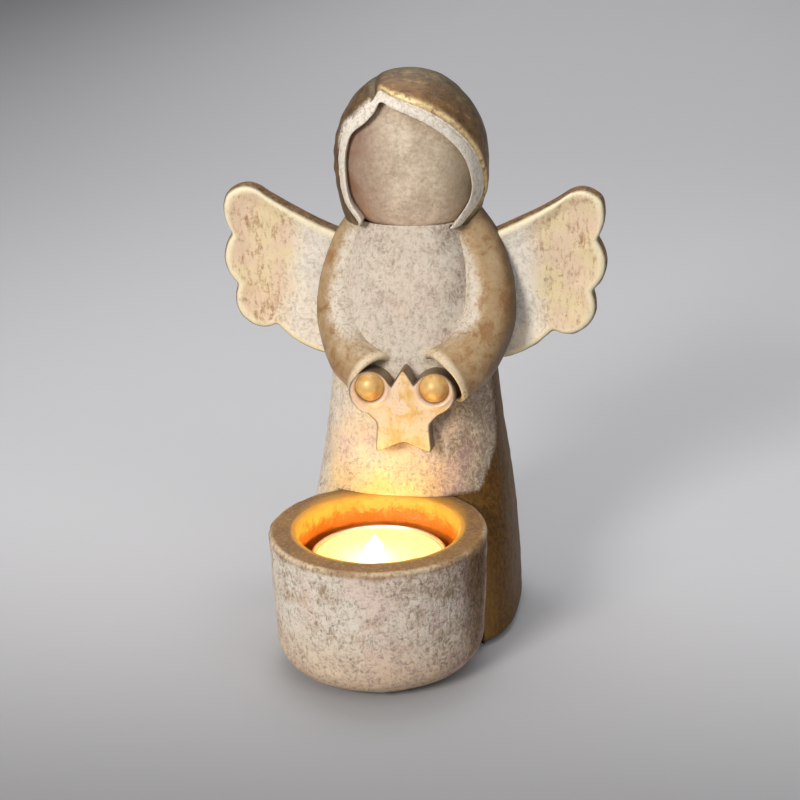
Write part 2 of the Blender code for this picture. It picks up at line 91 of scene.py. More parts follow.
HEAD = (0.0, 48.0, 134.0)
HEAD_WIDE, HEAD_DEEP, HEAD_UP, HEAD_DOWN = 22.0, 20.5, 25.6, 34.7
HEAD_MEAN = 21.0             # mean radius, which turns an angle over the head into a length
FACE_SEAT = -5.0             # how far before the head's middle the hair's inside ends
OPENING_MIDDLE = (1.2, 133.8)
OPENING = (                  # degrees round the face from the right, radius of the hair's edge
    (-56.0, 20.3), (-44.0, 19.4), (-26.7, 18.9), (-4.7, 17.0), (15.6, 15.6), (38.5, 14.4),
    (67.0, 14.3), (91.0, 15.8), (104.0, 17.7), (112.6, 19.8), (119.0, 18.3), (127.8, 17.5),
    (151.0, 18.4), (166.5, 18.0), (189.0, 17.9), (211.0, 19.1), (226.0, 19.4), (235.0, 20.6),
)
PARTING = 112.6
FACE = (0.3, 42.3, 133.4)
FACE_HALF = (19.4, 11.5, 21.0)

SLEEVE_POINTS = (            # outwards, front to back, height, radius
    (11.5, 47.5, 119.0, 6.2), (17.2, 46.0, 109.0, 7.4), (20.3, 43.4, 98.0, 7.9),
    (20.4, 39.0, 87.4, 7.9), (16.6, 32.6, 79.6, 7.8), (10.4, 27.2, 75.4, 7.4),
)
SLEEVE_SCALE = {-1: 0.91, 1: 1.09}           # by side: -1 left, 1 right
SLEEVE_SHIFT = {-1: -0.5, 1: 1.1}
# On the right sleeve the dark outside starts sooner and is stronger: painted shade over the bronze.
SLEEVE_PAINT = {             # the wash's two ends, where the dark outside starts, its strength
    -1: (-0.8, 0.3, 0.30, 0.5), 1: (-0.35, 0.6, 0.10, 1.15),
}
CUFF_DEPTH = 7.5
HAND = (9.2, 22.9, 73.8)

STAR = (0.3, 20.4, 65.9)
STAR_TIP, STAR_ARM, STAR_NOTCH = 13.9, 15.8, 8.0
STAR_THICK = 8.5
STAR_ROUND = 0.9
STAR_HOLLOW = 1.6
STAR_DISC, DISC_DROP = 6.1, 1.4              # each side arm is a disc just under the hand
STAR_HANDS = tuple((side * HAND[0] - STAR[0], HAND[2] - STAR[2]) for side in (-1, 1))
PLATE_RIM = 4.5              # a plate's rows run evenly inside this distance from its edge
STAR_LEAN = math.radians(5.0)

WING_FRONT = 45.0
WING_THICK = 7.0
WING_ROUND = 1.9
WING_MIDDLE = (34.0, 100.0)
WING_OUTLINE = (             # outwards, height, bulge of the arc to the next point
    (17.0, 111.0, 0.05), (43.0, 123.6, -0.45), (54.4, 123.4, -0.25), (53.2, 111.8, -0.42),
    (52.2, 96.2, -0.46), (47.2, 83.2, -0.22), (41.0, 84.2, -0.15), (28.0, 75.8, -0.06),
    (17.0, 74.0, 0.0),
)

CAN_TOP = 32.7
CAN_BOTTOM = 16.1
CAN_RADIUS = 19.0
FLUTES, FLUTE_DEPTH = 48.0, 0.06
WAX_BOTTOM = 17.0
WAX_TOP = 31.6
WICK_TOP = 36.6
WICK_RADIUS = 0.72
FLAME_MIDDLE = (POT_X - 1.0, -0.4)

# ----------------------------------- linear tones of the small parts (darker, lighter)

ALUMINIUM = ((0.62, 0.60, 0.57), (0.80, 0.79, 0.77))
TIN = ((0.42, 0.42, 0.42), (0.66, 0.66, 0.65))
WAX = ((0.80, 0.70, 0.34), (0.88, 0.80, 0.46))
COTTON = ((0.55, 0.48, 0.36), (0.80, 0.74, 0.60))
CHARRED = (0.012, 0.010, 0.008)
FLAME = (0.9, 0.7, 0.4)
FOAM = ((0.008, 0.008, 0.009), (0.035, 0.035, 0.036))
WHITE = (1.0, 1.0, 1.0)

# --------------------------------------------------------------- stage (m, degrees, W)

AIM = (0.0, 0.0, 0.07)       # where the soft lights point
FILL_LIGHT = ((0.9, -0.9, 0.8), 0.9, 2.2)    # spot, width, power
TOP_LIGHT = ((-0.2, 1.3, 2.3), 2.4, 20.0)
KEY_LIGHT = ((-0.50, -1.0, 0.62), 0.40, 11.4)
POOL_SPOT, POOL_AIM = (-0.05, 0.15, 1.2), (-0.02, 0.15, 0.0)
POOL_CONE, POOL_POWER, POOL_SOFT = 48.0, 7.0, 0.15
CANDLE_SPOT = (POT_X - 1.4, -0.4, WAX_TOP + 4.0)     # figure millimetres
CANDLE_SOFT = 0.002
SKY_TONE = (1.0, 1.0, 1.02, 1.0)
SKY_POWER = 0.58
FLOOR_REACH = 2.6
WALL_ROUND = 1.2
WALL_TOP = 2.6
SHADE_START = 0.10           # the floor darkens in front of this line and is pale again far off
SHADE_FADE = (0.02, 0.30)
SHADE_END = (1.9, 2.6)
CAMERA_TURN, CAMERA_RISE, CAMERA_ROLL = 9.2191, 19.9646, -1.4012
CAMERA_TARGET = (-1.2058, 4.45, 68.8803)     # millimetres in the row frame
CAMERA_DISTANCE = 0.5
CAMERA_LENS, CAMERA_SENSOR, CAMERA_NEAR = 78.82, 36.0, 0.01


def tint(red, green, blue):
    """A display colour from 0 to 255 as the linear colour that shaders use."""
    share = np.array((red, green, blue)) / 255.0
    linear = np.where(share <= 0.04045, share / 12.92, ((share + 0.055) / 1.055) ** 2.4)
    return tuple(float(c) for c in linear)


# --------------------------------------------------------------------- shape helpers

def place(points):
    """Figure millimetres to metres in the row frame."""
    return (points - np.array((0.0, FOOTPRINT_MIDDLE, 0.0))) * MM


def step(low, high, value):
    """Smooth step: 0 below low, 1 above high, 3t^2 - 2t^3 between."""
    t = np.clip((value - low) / (high - low), 0.0, 1.0)
    return t * t * (3.0 - 2.0 * t)


def flow(t, knots, values):
    """A smooth curve through stated values: cubic pieces whose slopes are the mean slopes there."""
    knots, values = np.asarray(knots, float), np.asarray(values, float)
    values = values.reshape(len(knots), -1)
    slopes = np.gradient(values, knots, axis=0)
    i = np.clip(np.searchsorted(knots, t, side="right") - 1, 0, len(knots) - 2)
    width = (knots[i + 1] - knots[i])[:, None]
    u = (t - knots[i])[:, None] / width
    start, end = values[i], values[i + 1]
    rise = (2.0 * u ** 3 - 3.0 * u ** 2 + 1.0) * start + (3.0 * u ** 2 - 2.0 * u ** 3) * end
    lean = (u ** 3 - 2.0 * u ** 2 + u) * slopes[i] + (u ** 3 - u ** 2) * slopes[i + 1]
    return rise + width * lean


def lumps(points, size, seed):
    """Smooth random heights from -1 to 1, about size across.

    Random values stand on a cubic lattice and are blended between its corners by smooth steps.
    """
    lattice = np.random.default_rng(seed).uniform(-1.0, 1.0, (32, 32, 32))
    cell = points / size + 64.0
    base = np.floor(cell).astype(int)
    f = cell - base
    f = f * f * (3.0 - 2.0 * f)
    total = np.zeros(points.shape[:-1])
    for corner in itertools.product((0, 1), repeat=3):
        at = (base + corner) % 32
        weight = np.prod(np.where(np.array(corner) == 1, f, 1.0 - f), axis=-1)
        total += lattice[at[..., 0], at[..., 1], at[..., 2]] * weight
    return total


def circle(count):
    """Angles of count even steps round a full turn."""
    return np.linspace(0.0, 2.0 * math.pi, count, endpoint=False)


def xyz(x, y, z):
    """Points from coordinates that are spread to one common shape."""
    return np.stack(np.broadcast_arrays(x, y, z), axis=-1)


def facing(grid):
    """Unit normals of a grid that is closed across: the cross product of its two steps."""
    along = np.gradient(grid, axis=0)
    across = np.roll(grid, -1, axis=1) - np.roll(grid, 1, axis=1)
    normal = np.cross(across, along)
    return normal / np.maximum(np.linalg.norm(normal, axis=-1, keepdims=True), 1e-9)


def worn(grid, layers, where=1.0):
    """The grid with lumps (size, depth, seed) added along its normals."""
    height = sum(depth * lumps(grid, size, seed) for size, depth, seed in layers)
    return grid + facing(grid) * (height * where)[..., None]


def cast(grid, sizes, fine, broad, where=1.0):
    """The grid with a casting's fine and broad lumps, each as size, share of the depth, seed."""
    depths = (sizes.relief / MM, sizes.swell / MM)
    layers = [(size, depth * share, seed)
              for depth, (size, share, seed) in zip(depths, (fine, broad))]
    return worn(grid, layers, where)


def weave(rows, cols):
    """Corner numbers of a ring grid's quads and of the fans that close its first and last row."""
    index = np.arange(rows * cols).reshape(rows, cols)
    right = np.roll(index, -1, axis=1)
    quads = np.stack([index[:-1], right[:-1], right[1:], index[1:]], axis=-1).reshape(-1, 4)
    first, last = (np.full(cols, rows * cols + end) for end in (0, 1))
    return (quads, np.stack([first, right[0], index[0]], axis=-1),
            np.stack([last, index[-1], right[-1]], axis=-1))


def paint_on(mesh, label, values):
    """Store one value for each point of a mesh, for its finish to read."""
    layer = mesh.attributes.new(label, "FLOAT", "POINT")
    layer.data.foreach_set("value", values.astype(np.float32))


def show(name, data):
    """A new object in the scene, at the origin."""
    made = bpy.data.objects.new(name, data)
    bpy.context.scene.collection.objects.link(made)
    return made


def shell(name, grid, body, finish, stands_for=(), paint=None):
    """A closed skin over a grid of points, with its material and body.

    Neighbouring points make quads, the last column joins the first, and each end row closes on
    its own middle point. Values in paint become point attributes that the finish reads.
    """
    quads, fan_first, fan_last = weave(*grid.shape[:2])
    points = np.concatenate([grid.reshape(-1, 3), [grid[0].mean(0)], [grid[-1].mean(0)]])
    corners = np.concatenate([quads[:, [0, 1, 2]], quads[:, [0, 2, 3]], fan_first, fan_last])
    a, b, c = (points[corners[:, k]] for k in range(3))
    if np.einsum("ij,ij->i", a, np.cross(b, c)).sum() < 0.0:
        quads, fan_first, fan_last = quads[:, ::-1], fan_first[:, ::-1], fan_last[:, ::-1]
    mesh = bpy.data.meshes.new(name)
    faces = quads.tolist() + fan_first.tolist() + fan_last.tolist()
    mesh.from_pydata(place(points).tolist(), [], faces)
    mesh.shade_smooth()
    mesh.set_sharp_from_angle(angle=SHARP_EDGE)
    for label, values in (paint or {}).items():
        values = np.broadcast_to(values, grid.shape[:2])
        ends = [values[0].mean()], [values[-1].mean()]
        paint_on(mesh, label, np.concatenate([values.reshape(-1), *ends]))
    mesh.materials.append(finish)
    made = show(name, mesh)
    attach(made, body)
    if stands_for:
        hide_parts(*stands_for)
    return made


def turned(profile, cols, middle=(POT_X, 0.0)):
    """A profile of radius and height rows turned about an upright axis."""
    angle = circle(cols)
    radius, height = profile[:, :1], profile[:, 1:2]
    return xyz(middle[0] + radius * np.cos(angle), middle[1] + radius * np.sin(angle), height)


def arc(middle, radius, start, end, count):
    """Rows of radius and height on part of a circle; angles in degrees."""
    angle = np.radians(np.linspace(start, end, count))[:, None]
    return middle + radius * np.hstack([np.cos(angle), np.sin(angle)])


def line(start, end, count):
    """Evenly spaced rows from start to end, both left out."""
    t = np.linspace(0.0, 1.0, count + 2)[1:-1, None]
    return np.array(start) * (1.0 - t) + np.array(end) * t


def numbered(parts):
    """Each row's part number, for rows that are joined from parts in order."""
    return np.concatenate([np.full(len(part), number) for number, part in enumerate(parts)])


# ------------------------------------------------------------------- shader language

class Wire:
    """A shader socket in a sum: each operator adds one Math node."""

    def __init__(self, recipe, socket):
        self.recipe = recipe
        self.socket = socket

    def math(self, operation, *values):
        sockets = dict(enumerate(values))
        return self.recipe.node("ShaderNodeMath", {"operation": operation}, sockets)

    def __add__(self, other):
        return self.math("ADD", self, other)

    def __sub__(self, other):
        return self.math("SUBTRACT", self, other)

    def __rsub__(self, other):
        return self.math("SUBTRACT", other, self)

    def __mul__(self, other):
        return self.math("MULTIPLY", self, other)

    def __pow__(self, other):
        return self.math("POWER", self, other)

    def __abs__(self):
        return self.math("ABSOLUTE", self)

    def over(self, other):
        return self.math("MAXIMUM", self, other)

    def band(self, low, high):
        """0 below low and 1 above high, smooth between."""
        sockets = {"Value": self, "From Min": low, "From Max": high}
        return self.recipe.node("ShaderNodeMapRange", {"interpolation_type": "SMOOTHSTEP"}, sockets)

    __radd__ = __add__
    __rmul__ = __mul__


class Recipe:
    """One material's nodes, mixed over the piece's own coordinates."""

    def __init__(self, name):
        self.material = bpy.data.materials.new(name)
        self.material.use_nodes = True
        self.tree = self.material.node_tree
        self.tree.nodes.clear()
        self.spot = self.node("ShaderNodeTexCoord", {}, {}, "Object")

    def node(self, kind, settings, sockets, output=0):
        """Add a node: settings first, then the values or links of its sockets."""
        made = self.tree.nodes.new(kind)
        for label, value in settings.items():
            setattr(made, label, value)
        for label, value in sockets.items():
            if isinstance(value, Wire):
                self.tree.links.new(value.socket, made.inputs[label])
            else:
                made.inputs[label].default_value = value
        return Wire(self, made.outputs[output])

    def grain(self, size, detail=2.0, rough=0.5, bend=0.0, squeeze=None, turn=(0.0, 0.0, 0.0)):
        """Noise from 0 to 1 whose lumps are about size millimetres across."""
        spot = self.spot
        if squeeze:
            sockets = {"Vector": spot, "Scale": squeeze, "Rotation": turn}
            spot = self.node("ShaderNodeMapping", {}, sockets)
        sockets = {"Vector": spot, "Scale": 1.0 / (size * MM), "Detail": detail,
                   "Roughness": rough, "Distortion": bend}
        return self.node("ShaderNodeTexNoise", {}, sockets, "Fac")

    def painted(self, label):
        """A value painted on the mesh's points."""
        return self.node("ShaderNodeAttribute", {"attribute_name": label}, {}, "Fac")

    def axes(self):
        """The piece's three coordinates, in metres."""
        outputs = self.node("ShaderNodeSeparateXYZ", {}, {0: self.spot}).socket.node.outputs
        return [Wire(self, output) for output in outputs]

    def blend(self, share, low, high):
        """The colour low where share is 0 and high where it is 1."""
        low, high = (c if isinstance(c, Wire) else (*c, 1.0) for c in (low, high))
        sockets = {0: share, 6: low, 7: high}
        return self.node("ShaderNodeMix", {"data_type": "RGBA"}, sockets, 2)

    def bump(self, height, depth, strength=1.0):
        """A normal from a height in 0 to 1 that stands depth millimetres tall."""
        sockets = {"Height": height, "Distance": depth * MM, "Strength": strength}
        return self.node("ShaderNodeBump", {}, sockets)

    def done(self, **sockets):
        """Close the recipe with the Principled shader."""
        named = {label.replace("_", " "): value for label, value in sockets.items()}
        for label in ("Base Color", "Emission Color"):
            if isinstance(named.get(label), tuple):
                named[label] = (*named[label], 1.0)
        shader = self.node("ShaderNodeBsdfPrincipled", {}, named)
        out = self.tree.nodes.new("ShaderNodeOutputMaterial")
        self.tree.links.new(shader.socket, out.inputs["Surface"])
        return self.material


def scratches(mix, fine=1.0):
    """Rubbed whitewash: stipple, swirling scratch lines and short upright strokes, 0 to 1."""
    stipple = mix.grain(1.1 * fine, 4.0, 0.62, 0.5)
    swirl = mix.grain(2.4 * fine, 3.0, 0.6, 1.2)
    lines = 1.0 - abs(swirl * 2.0 - 1.0) * 4.0
    strokes = mix.grain(0.9 * fine, 3.0, 0.6, 0.4, (1.0, 1.0, 0.34), (0.0, 0.3, 0.0))
    return stipple * 0.42 + lines.over(0.0) * 0.16 + strokes * 0.42


# ----------------------------------------------------------------------------- finishes

def robe_finish(colours):
    """Cream and pink wash over brown stipple, with more brown stipple on the right as painted shade
    and a painted candle glow on the skirt just above the pot.

    Where the painted value front is low, the flanks and the back are bronze; on the lower right
    flank this bronze is partly painted shade.
    """
    mix = Recipe("robe whitewash")
    x, y, z = mix.axes()
    marks = scratches(mix)
    patch = mix.grain(9.0, 3.0, 0.55)
    warm = mix.grain(17.0, 2.0, 0.5, 0.4)
    bib = z.band(0.070, 0.085)
    front = mix.painted("front")
    # painted shade: right of the middle the wash thins, so the front darkens towards the right,
    # less on the bib
    far = x.band(0.002, 0.018) * (1.0 - bib * 0.65)
    worn_off = (marks + patch * 0.34 + 0.05 - far * 0.26).band(0.32, 0.86)
    light = mix.blend(warm.band(0.38, 0.60), colours.wash, colours.wash_pink)
    light = mix.blend(bib * 0.8, light, colours.bib)
    light = mix.blend((1.0 - bib) * patch.band(0.42, 0.6) * 0.4, light, colours.wash_gold)
    # painted candle glow: warm gold light on the skirt just above the pot, round the flame
    painted_candle_glow = (1.0 - z.band(0.041, 0.055)) * (0.6 + patch * 0.6)
    painted_candle_glow = painted_candle_glow * x.band(-0.030, -0.016) * (1.0 - x.band(0.006, 0.018))
    light = mix.blend(painted_candle_glow.over(0.0) * 0.75, light, colours.painted_candle_glow)
    dark = mix.blend(warm.band(0.4, 0.65), colours.under, colours.mauve)
    washed = mix.blend(worn_off, dark, light)
    # painted light: the bronze flank beside the pot, towards the front, is lighter
    beside = (1.0 - x.band(0.022, 0.031)) * x.band(0.0, 0.015)
    lit = beside * (1.0 - y.band(-0.014, 0.008))
    bronze = mix.blend(marks.band(0.35, 0.75), colours.shade, colours.flank)
    bronze = mix.blend(lit * (0.5 + marks * 0.5), bronze, colours.flank_painted_light)
    colour = mix.blend((front * 1.3 + marks * 0.6 - 0.45).band(0.0, 0.85), bronze, washed)
    return mix.done(Base_Color=colour, Roughness=0.5 + front * 0.36,
                    Normal=mix.bump(marks, 0.3, 0.8), Specular_IOR_Level=0.2)


def pot_finish(colours):
    """Coarser wash on the wall, darker towards the right and bronze at the right edge partly as
    painted shade, brown rubbed rim with a cream edge of whitewash and painted highlight, gold in
    the well with painted glints.
    """
    mix = Recipe("pot whitewash")
    x, _, z = mix.axes()
    marks = scratches(mix, 0.95)
    patch = mix.grain(8.0, 3.0, 0.6, 0.3)
    warm = mix.grain(15.0, 2.0, 0.5, 0.5)
    rim, well, flank, edge = map(mix.painted, ("rim", "well", "flank", "edge"))
    # painted shade: the wash thins towards the pot's right side
    far = x.band(0.0, 0.022)
    mask = (marks * 1.15 + patch * 0.38 - 0.12 - far * 0.10).band(0.34, 0.78)
    foot = (1.0 - z.band(0.002, 0.026)) * patch.band(0.25, 0.55)
    light = mix.blend(warm.band(0.40, 0.62) * 0.7, colours.wash, colours.wash_pink)
    light = mix.blend(foot * 0.8, light, colours.foot_tan)
    light = mix.blend((1.0 - patch).band(0.5, 0.62) * 0.35, light, colours.foot_tan)
    dark = mix.blend(warm.band(0.38, 0.66), colours.under, colours.mauve)
    washed = mix.blend(mask, dark, light)
    # bronze where the painted value flank is high, at the right edge partly painted shade
    bronze = mix.blend(marks.band(0.35, 0.75), colours.shade, colours.flank)
    washed = mix.blend(flank * (1.15 - marks * 0.4), washed, bronze)
    rubbed = mix.blend((marks * 0.6 + patch * 0.5).band(0.36, 0.72), colours.rim_dark,
                       colours.bronze)
    rubbed = mix.blend(marks.band(0.50, 0.80) * 0.22, rubbed, colours.lip_cream)
    colour = mix.blend(rim, washed, rubbed)
    # the cream line on the rim's outer edge is whitewash and a painted highlight
    colour = mix.blend(edge * marks.band(0.2, 0.6) * 0.6, colour, colours.lip_cream)
    # painted glints: yellow spots in the well's gold, more of them high towards the lip
    dents = mix.grain(2.2, 2.0, 0.55, 0.5)
    high = z.band(0.031, 0.040) * 0.5
    gilt_and_highlight = mix.blend((dents * 0.7 + marks * 0.3 + high - 0.25).band(0.40, 0.72),
                     colours.well_deep, colours.well_glint)
    colour = mix.blend(well, colour, gilt_and_highlight)
    rough = 0.84 - (rim * 0.3).over(well * 0.42)
    return mix.done(Base_Color=colour, Roughness=rough, Normal=mix.bump(marks, 0.4, 0.9),
                    Specular_IOR_Level=0.35)


def hair_finish(colours):
    """Olive bronze, combed, with a warm rubbed lock, a painted highlight line along the lock's edge
    and a chipped white band.
    """
    mix = Recipe("bronzed hair")
    blotch = mix.grain(5.5, 3.0, 0.55, 0.4)
    fine = mix.grain(1.2, 3.0, 0.6)
    rim, lock, chalk, gilt_and_highlight = map(mix.painted, ("rim", "lock", "chalk", "gilt_and_highlight"))
    base = mix.blend((blotch * 0.8 + fine * 0.3).band(0.38, 0.68), colours.hair_dark,
                     colours.hair)
    base = mix.blend(lock * (0.2 + blotch * 0.8), base, colours.hair_warm)
    comb = mix.grain(1.5, 3.0, 0.6, 0.8, (0.4, 1.0, 0.7), (0.0, 0.6, 0.0))
    base = mix.blend((1.0 - comb.band(0.30, 0.48)) * 0.7, base, colours.hair_dark)
    base = mix.blend(comb.band(0.54, 0.72) * 0.45, base, colours.hair_gold)
    # painted highlight: a light gold line along the swept lock's edge
    base = mix.blend(gilt_and_highlight * fine.band(0.2, 0.6), base, colours.gold_light)
    marks = scratches(mix, 0.9)
    chalky = (chalk * (marks * 1.1 + 0.3)).band(0.25, 0.75)
    white = mix.blend(marks.band(0.30, 0.60), colours.chalk_dark, colours.chalk)
    covered = chalky.over((rim + marks * 0.42 - 0.18).band(0.30, 0.72))
    return mix.done(Base_Color=mix.blend(covered, base, white), Roughness=0.48 + covered * 0.35,
                    Metallic=(0.35 - covered * 0.35).over(0.0),
                    Normal=mix.bump(marks + blotch * 0.4, 0.3, 0.7))


def face_finish(colours):
    """Plain matt resin face: warm cream, mauve on its left, grey brown painted shade on its right,
    scratched.
    """
    mix = Recipe("blush resin")
    marks = mix.grain(1.1, 4.0, 0.66, 0.5)
    x, _, z = mix.axes()
    patch = mix.grain(7.0, 2.0, 0.5, 0.6)
    left, right = 1.0 - x.band(-0.0165, 0.000), x.band(0.006, 0.017)
    low, upper = 1.0 - z.band(0.115, 0.130), 1.0 - z.band(0.128, 0.146)
    colour = mix.blend((marks * 0.45 + patch * 0.6).band(0.34, 0.68), colours.face_mid,
                       colours.face)
    colour = mix.blend(left * (0.35 + patch * 1.1), colour, colours.face_mauve)
    colour = mix.blend(left * upper * patch.band(0.35, 0.6) * 0.5, colour, colours.hair_warm)
    # painted shade: the face's right side is greyer and darker
    colour = mix.blend(right * (0.55 + patch * 0.6), colour, colours.face_shade)
    colour = mix.blend((left * low * 1.3).band(0.0, 1.0), colour, colours.hair_warm)
    colour = mix.blend(low * 0.4, colour, colours.wash_pink)
    strokes = mix.grain(1.3, 3.0, 0.6, 0.6, (0.45, 1.0, 1.0), (0.0, 0.5, 0.0))
    worn_off = (1.0 - (marks * 0.45 + strokes * 0.55).band(0.28, 0.62)) * 0.42
    colour = mix.blend(worn_off, colour, colours.under)
    return mix.done(Base_Color=colour, Roughness=0.82, Normal=mix.bump(marks, 0.25, 0.7),
                    Specular_IOR_Level=0.3)


def sleeve_finish(colours):
    """Satin gold-tan, cream where the wash ran at the edges, dark bronze outside, stronger and
    wider on the right sleeve as painted shade.
    """
    mix = Recipe("bronzed sleeve")
    blotch = mix.grain(5.0, 3.0, 0.55, 0.5)
    marks = scratches(mix, 0.9)
    inner, outer, lip = map(mix.painted, ("inner", "outer", "lip"))
    base = mix.blend((blotch * 0.5 + marks * 0.35).band(0.18, 0.62), colours.bronze,
                     colours.sleeve)
    base = mix.blend((1.0 - (blotch * 0.7 + marks * 0.3).band(0.36, 0.50)) * 0.55, base,
                     colours.hair_warm)
    # dark outside: bronze, and on the right sleeve partly painted shade
    base = mix.blend(outer * (1.1 - blotch * 0.3), base, colours.shade)
    washed = mix.blend(marks.band(0.25, 0.60), colours.sleeve_grey, colours.bib)
    colour = mix.blend((inner * 1.25 + marks * 0.4 + blotch * 0.7 - 0.5).band(0.1, 0.9), base,
                       washed)
    colour = mix.blend(lip * (marks + blotch * 0.7).band(0.45, 0.85) * 0.7, colour,
                       colours.lip_cream)
    return mix.done(Base_Color=colour, Roughness=0.44 + inner.over(lip) * 0.3,
                    Metallic=0.1, Normal=mix.bump(marks, 0.2, 0.5))


def gold_finish(colours):
    """Rubbed gold: peach on top, yellow below, with painted shade on the rounded edges, the sides
    and the hollows round the hands.
    """
    mix = Recipe("gold resin")
    marks = scratches(mix, 0.9)
    blotch = mix.grain(5.0, 2.0, 0.5, 0.5)
    side, pale = map(mix.painted, ("side", "pale"))
    low = 1.0 - mix.axes()[2].band(0.053, 0.069)
    base = mix.blend((blotch * 0.7 + marks * 0.4).band(0.38, 0.72), colours.gold,
                     colours.gold_light)
    base = mix.blend(low, mix.blend(blotch.band(0.35, 0.65), base, colours.peach), base)
    base = mix.blend((1.0 - marks.band(0.30, 0.46)) * 0.5, base, colours.hand_brown)
    base = mix.blend(pale * (0.4 + marks * 0.6), base, colours.wash_pink)
    # painted shade: dark bronze on the rounded edges, the wall, the back and the hollows round the
    # hands
    colour = mix.blend(side * (0.95 - marks * 0.3), base, colours.shade)
    return mix.done(Base_Color=colour, Roughness=0.42, Metallic=0.2,
                    Normal=mix.bump(marks, 0.2, 0.55))


def hand_finish(colours):
    """Polished gold balls with a worn brown blush."""
    mix = Recipe("polished gold")
    blotch = mix.grain(3.5, 3.0, 0.55, 0.4)
    fine = mix.grain(0.8, 2.0, 0.5)
    colour = mix.blend(blotch.band(0.30, 0.62), colours.hand_brown, colours.gold)
    return mix.done(Base_Color=colour, Roughness=0.38 + fine * 0.12, Metallic=0.2,
                    Normal=mix.bump(fine + blotch, 0.12, 0.4))


def wing_finish(colours):
    """Grey-white near the body, peach outside, a cream raised edge of whitewash and painted
    highlight, and brown thickness.
    """
    mix = Recipe("wing whitewash")
    marks = scratches(mix)
    patch = mix.grain(7.0, 3.0, 0.6, 0.5)
    edge, wall, outer = map(mix.painted, ("edge", "wall", "outer"))
    streak = mix.grain(1.1, 3.0, 0.62, 0.4, (1.0, 1.0, 0.25), (0.0, 0.15, 0.0))
    mask = (marks + patch * 0.32 - 0.04).band(0.34, 0.74)
    inside = mix.blend(mask, colours.wing_grey, colours.wing_white)
    blush = mix.grain(11.0, 2.0, 0.5, 0.4)
    peach = mix.blend(blush.band(0.42, 0.62) * 0.6, colours.wing_peach,
                      colours.wing_pink)
    tan = mix.blend((marks * 0.55 + streak * 0.55 + patch * 0.45).band(0.58, 0.82),
                    colours.wing_brown, peach)
    colour = mix.blend((outer * 1.3 + patch * 0.9 - 0.6).band(0.1, 0.9), inside, tan)
    # the cream on the raised edge is whitewash and a painted highlight
    colour = mix.blend(edge * (0.1 + marks + patch * 0.3).band(0.2, 0.8), colour,
                       colours.wing_cream)
    brown = mix.blend(marks.band(0.35, 0.7), colours.shade, colours.bronze)
    colour = mix.blend(wall, colour, brown)
    return mix.done(Base_Color=colour, Roughness=0.78 - wall * 0.25 - edge * 0.15,
                    Normal=mix.bump(marks + streak * 0.4, 0.3, 0.8), Specular_IOR_Level=0.35)


def metal_finish(name, tones, polish, spread, *grain):
    """Bare metal whose tone and polish both follow one grain."""
    mix = Recipe(name)
    marks = mix.grain(*grain)
    return mix.done(Base_Color=mix.blend(marks, *tones), Metallic=1.0,
                    Roughness=polish + marks * spread, Normal=mix.bump(marks, 0.03, 0.5))


def wax_finish(sizes, colours):
    """Lit wax: glowing white by the wick, yellow further out, deeper at the edge."""
    mix = Recipe("lit wax")
    near = 1.0 - mix.painted("out")
    cloud = mix.grain(3.0, 2.0, 0.5)
    glow = mix.blend(near.band(0.05, 0.75), colours.wax_edge, colours.wax_glow)
    glow = mix.blend(near.band(0.6, 1.0), glow, colours.wax_core)
    colour = mix.blend(cloud, *WAX)
    return mix.done(Base_Color=colour, Roughness=0.3 + cloud * 0.2, Emission_Color=glow,
                    Emission_Strength=sizes.wax_glow, Normal=mix.bump(cloud, 0.1, 0.4))


def wick_finish():
    """Braided cotton, charred towards its tip."""
    mix = Recipe("cotton wick")
    braid = mix.grain(0.35, 2.0, 0.5, 0.3, (1.0, 1.0, 0.6))
    char = mix.axes()[2].band(0.0325, 0.0345)
    colour = mix.blend(char, mix.blend(braid, *COTTON), CHARRED)
    return mix.done(Base_Color=colour, Roughness=0.9, Normal=mix.bump(braid, 0.1))


def flame_finish(sizes, colours):
    """A small flame: white heart, yellow mantle."""
    mix = Recipe("flame")
    glow = mix.blend(mix.painted("tip"), colours.flame_heart, colours.flame_tip)
    return mix.done(Base_Color=FLAME, Roughness=1.0, Emission_Color=glow,
                    Emission_Strength=sizes.flame_glow)


def pad_finish():
    """Black foam of the feet, finely pored."""
    mix = Recipe("pad foam")
    pores = mix.grain(0.5, 3.0, 0.6)
    return mix.done(Base_Color=mix.blend(pores, *FOAM), Roughness=0.95,
                    Normal=mix.bump(pores, 0.12))


def stage_finish(colours):
    """Pale studio floor with a very faint tooth, darker towards the front and the sides as painted
    shade.
    """
    mix = Recipe("studio floor")
    tooth = mix.grain(4.0, 2.0, 0.5)
    low = tuple(c * 0.985 for c in colours.floor)
    near = mix.blend(tooth, low, colours.floor)
    colour = mix.blend(mix.painted("far"), near, colours.floor_painted_shade)
    return mix.done(Base_Color=colour, Roughness=0.9, Specular_IOR_Level=0.1)


# -------------------------------------------------------------------------- properties

def length(name, description, default_mm):
    """A size in millimetres as a length property."""
    return bpy.props.FloatProperty(name=name, description=description, default=default_mm * MM,
                                   min=0.0, precision=5, unit="LENGTH")


def colour(name, description, red, green, blue):
    """A display colour as a colour property."""
    return bpy.props.FloatVectorProperty(name=name, description=description, subtype="COLOR",
                                         size=3, min=0.0, max=1.0,
                                         default=tint(red, green, blue))


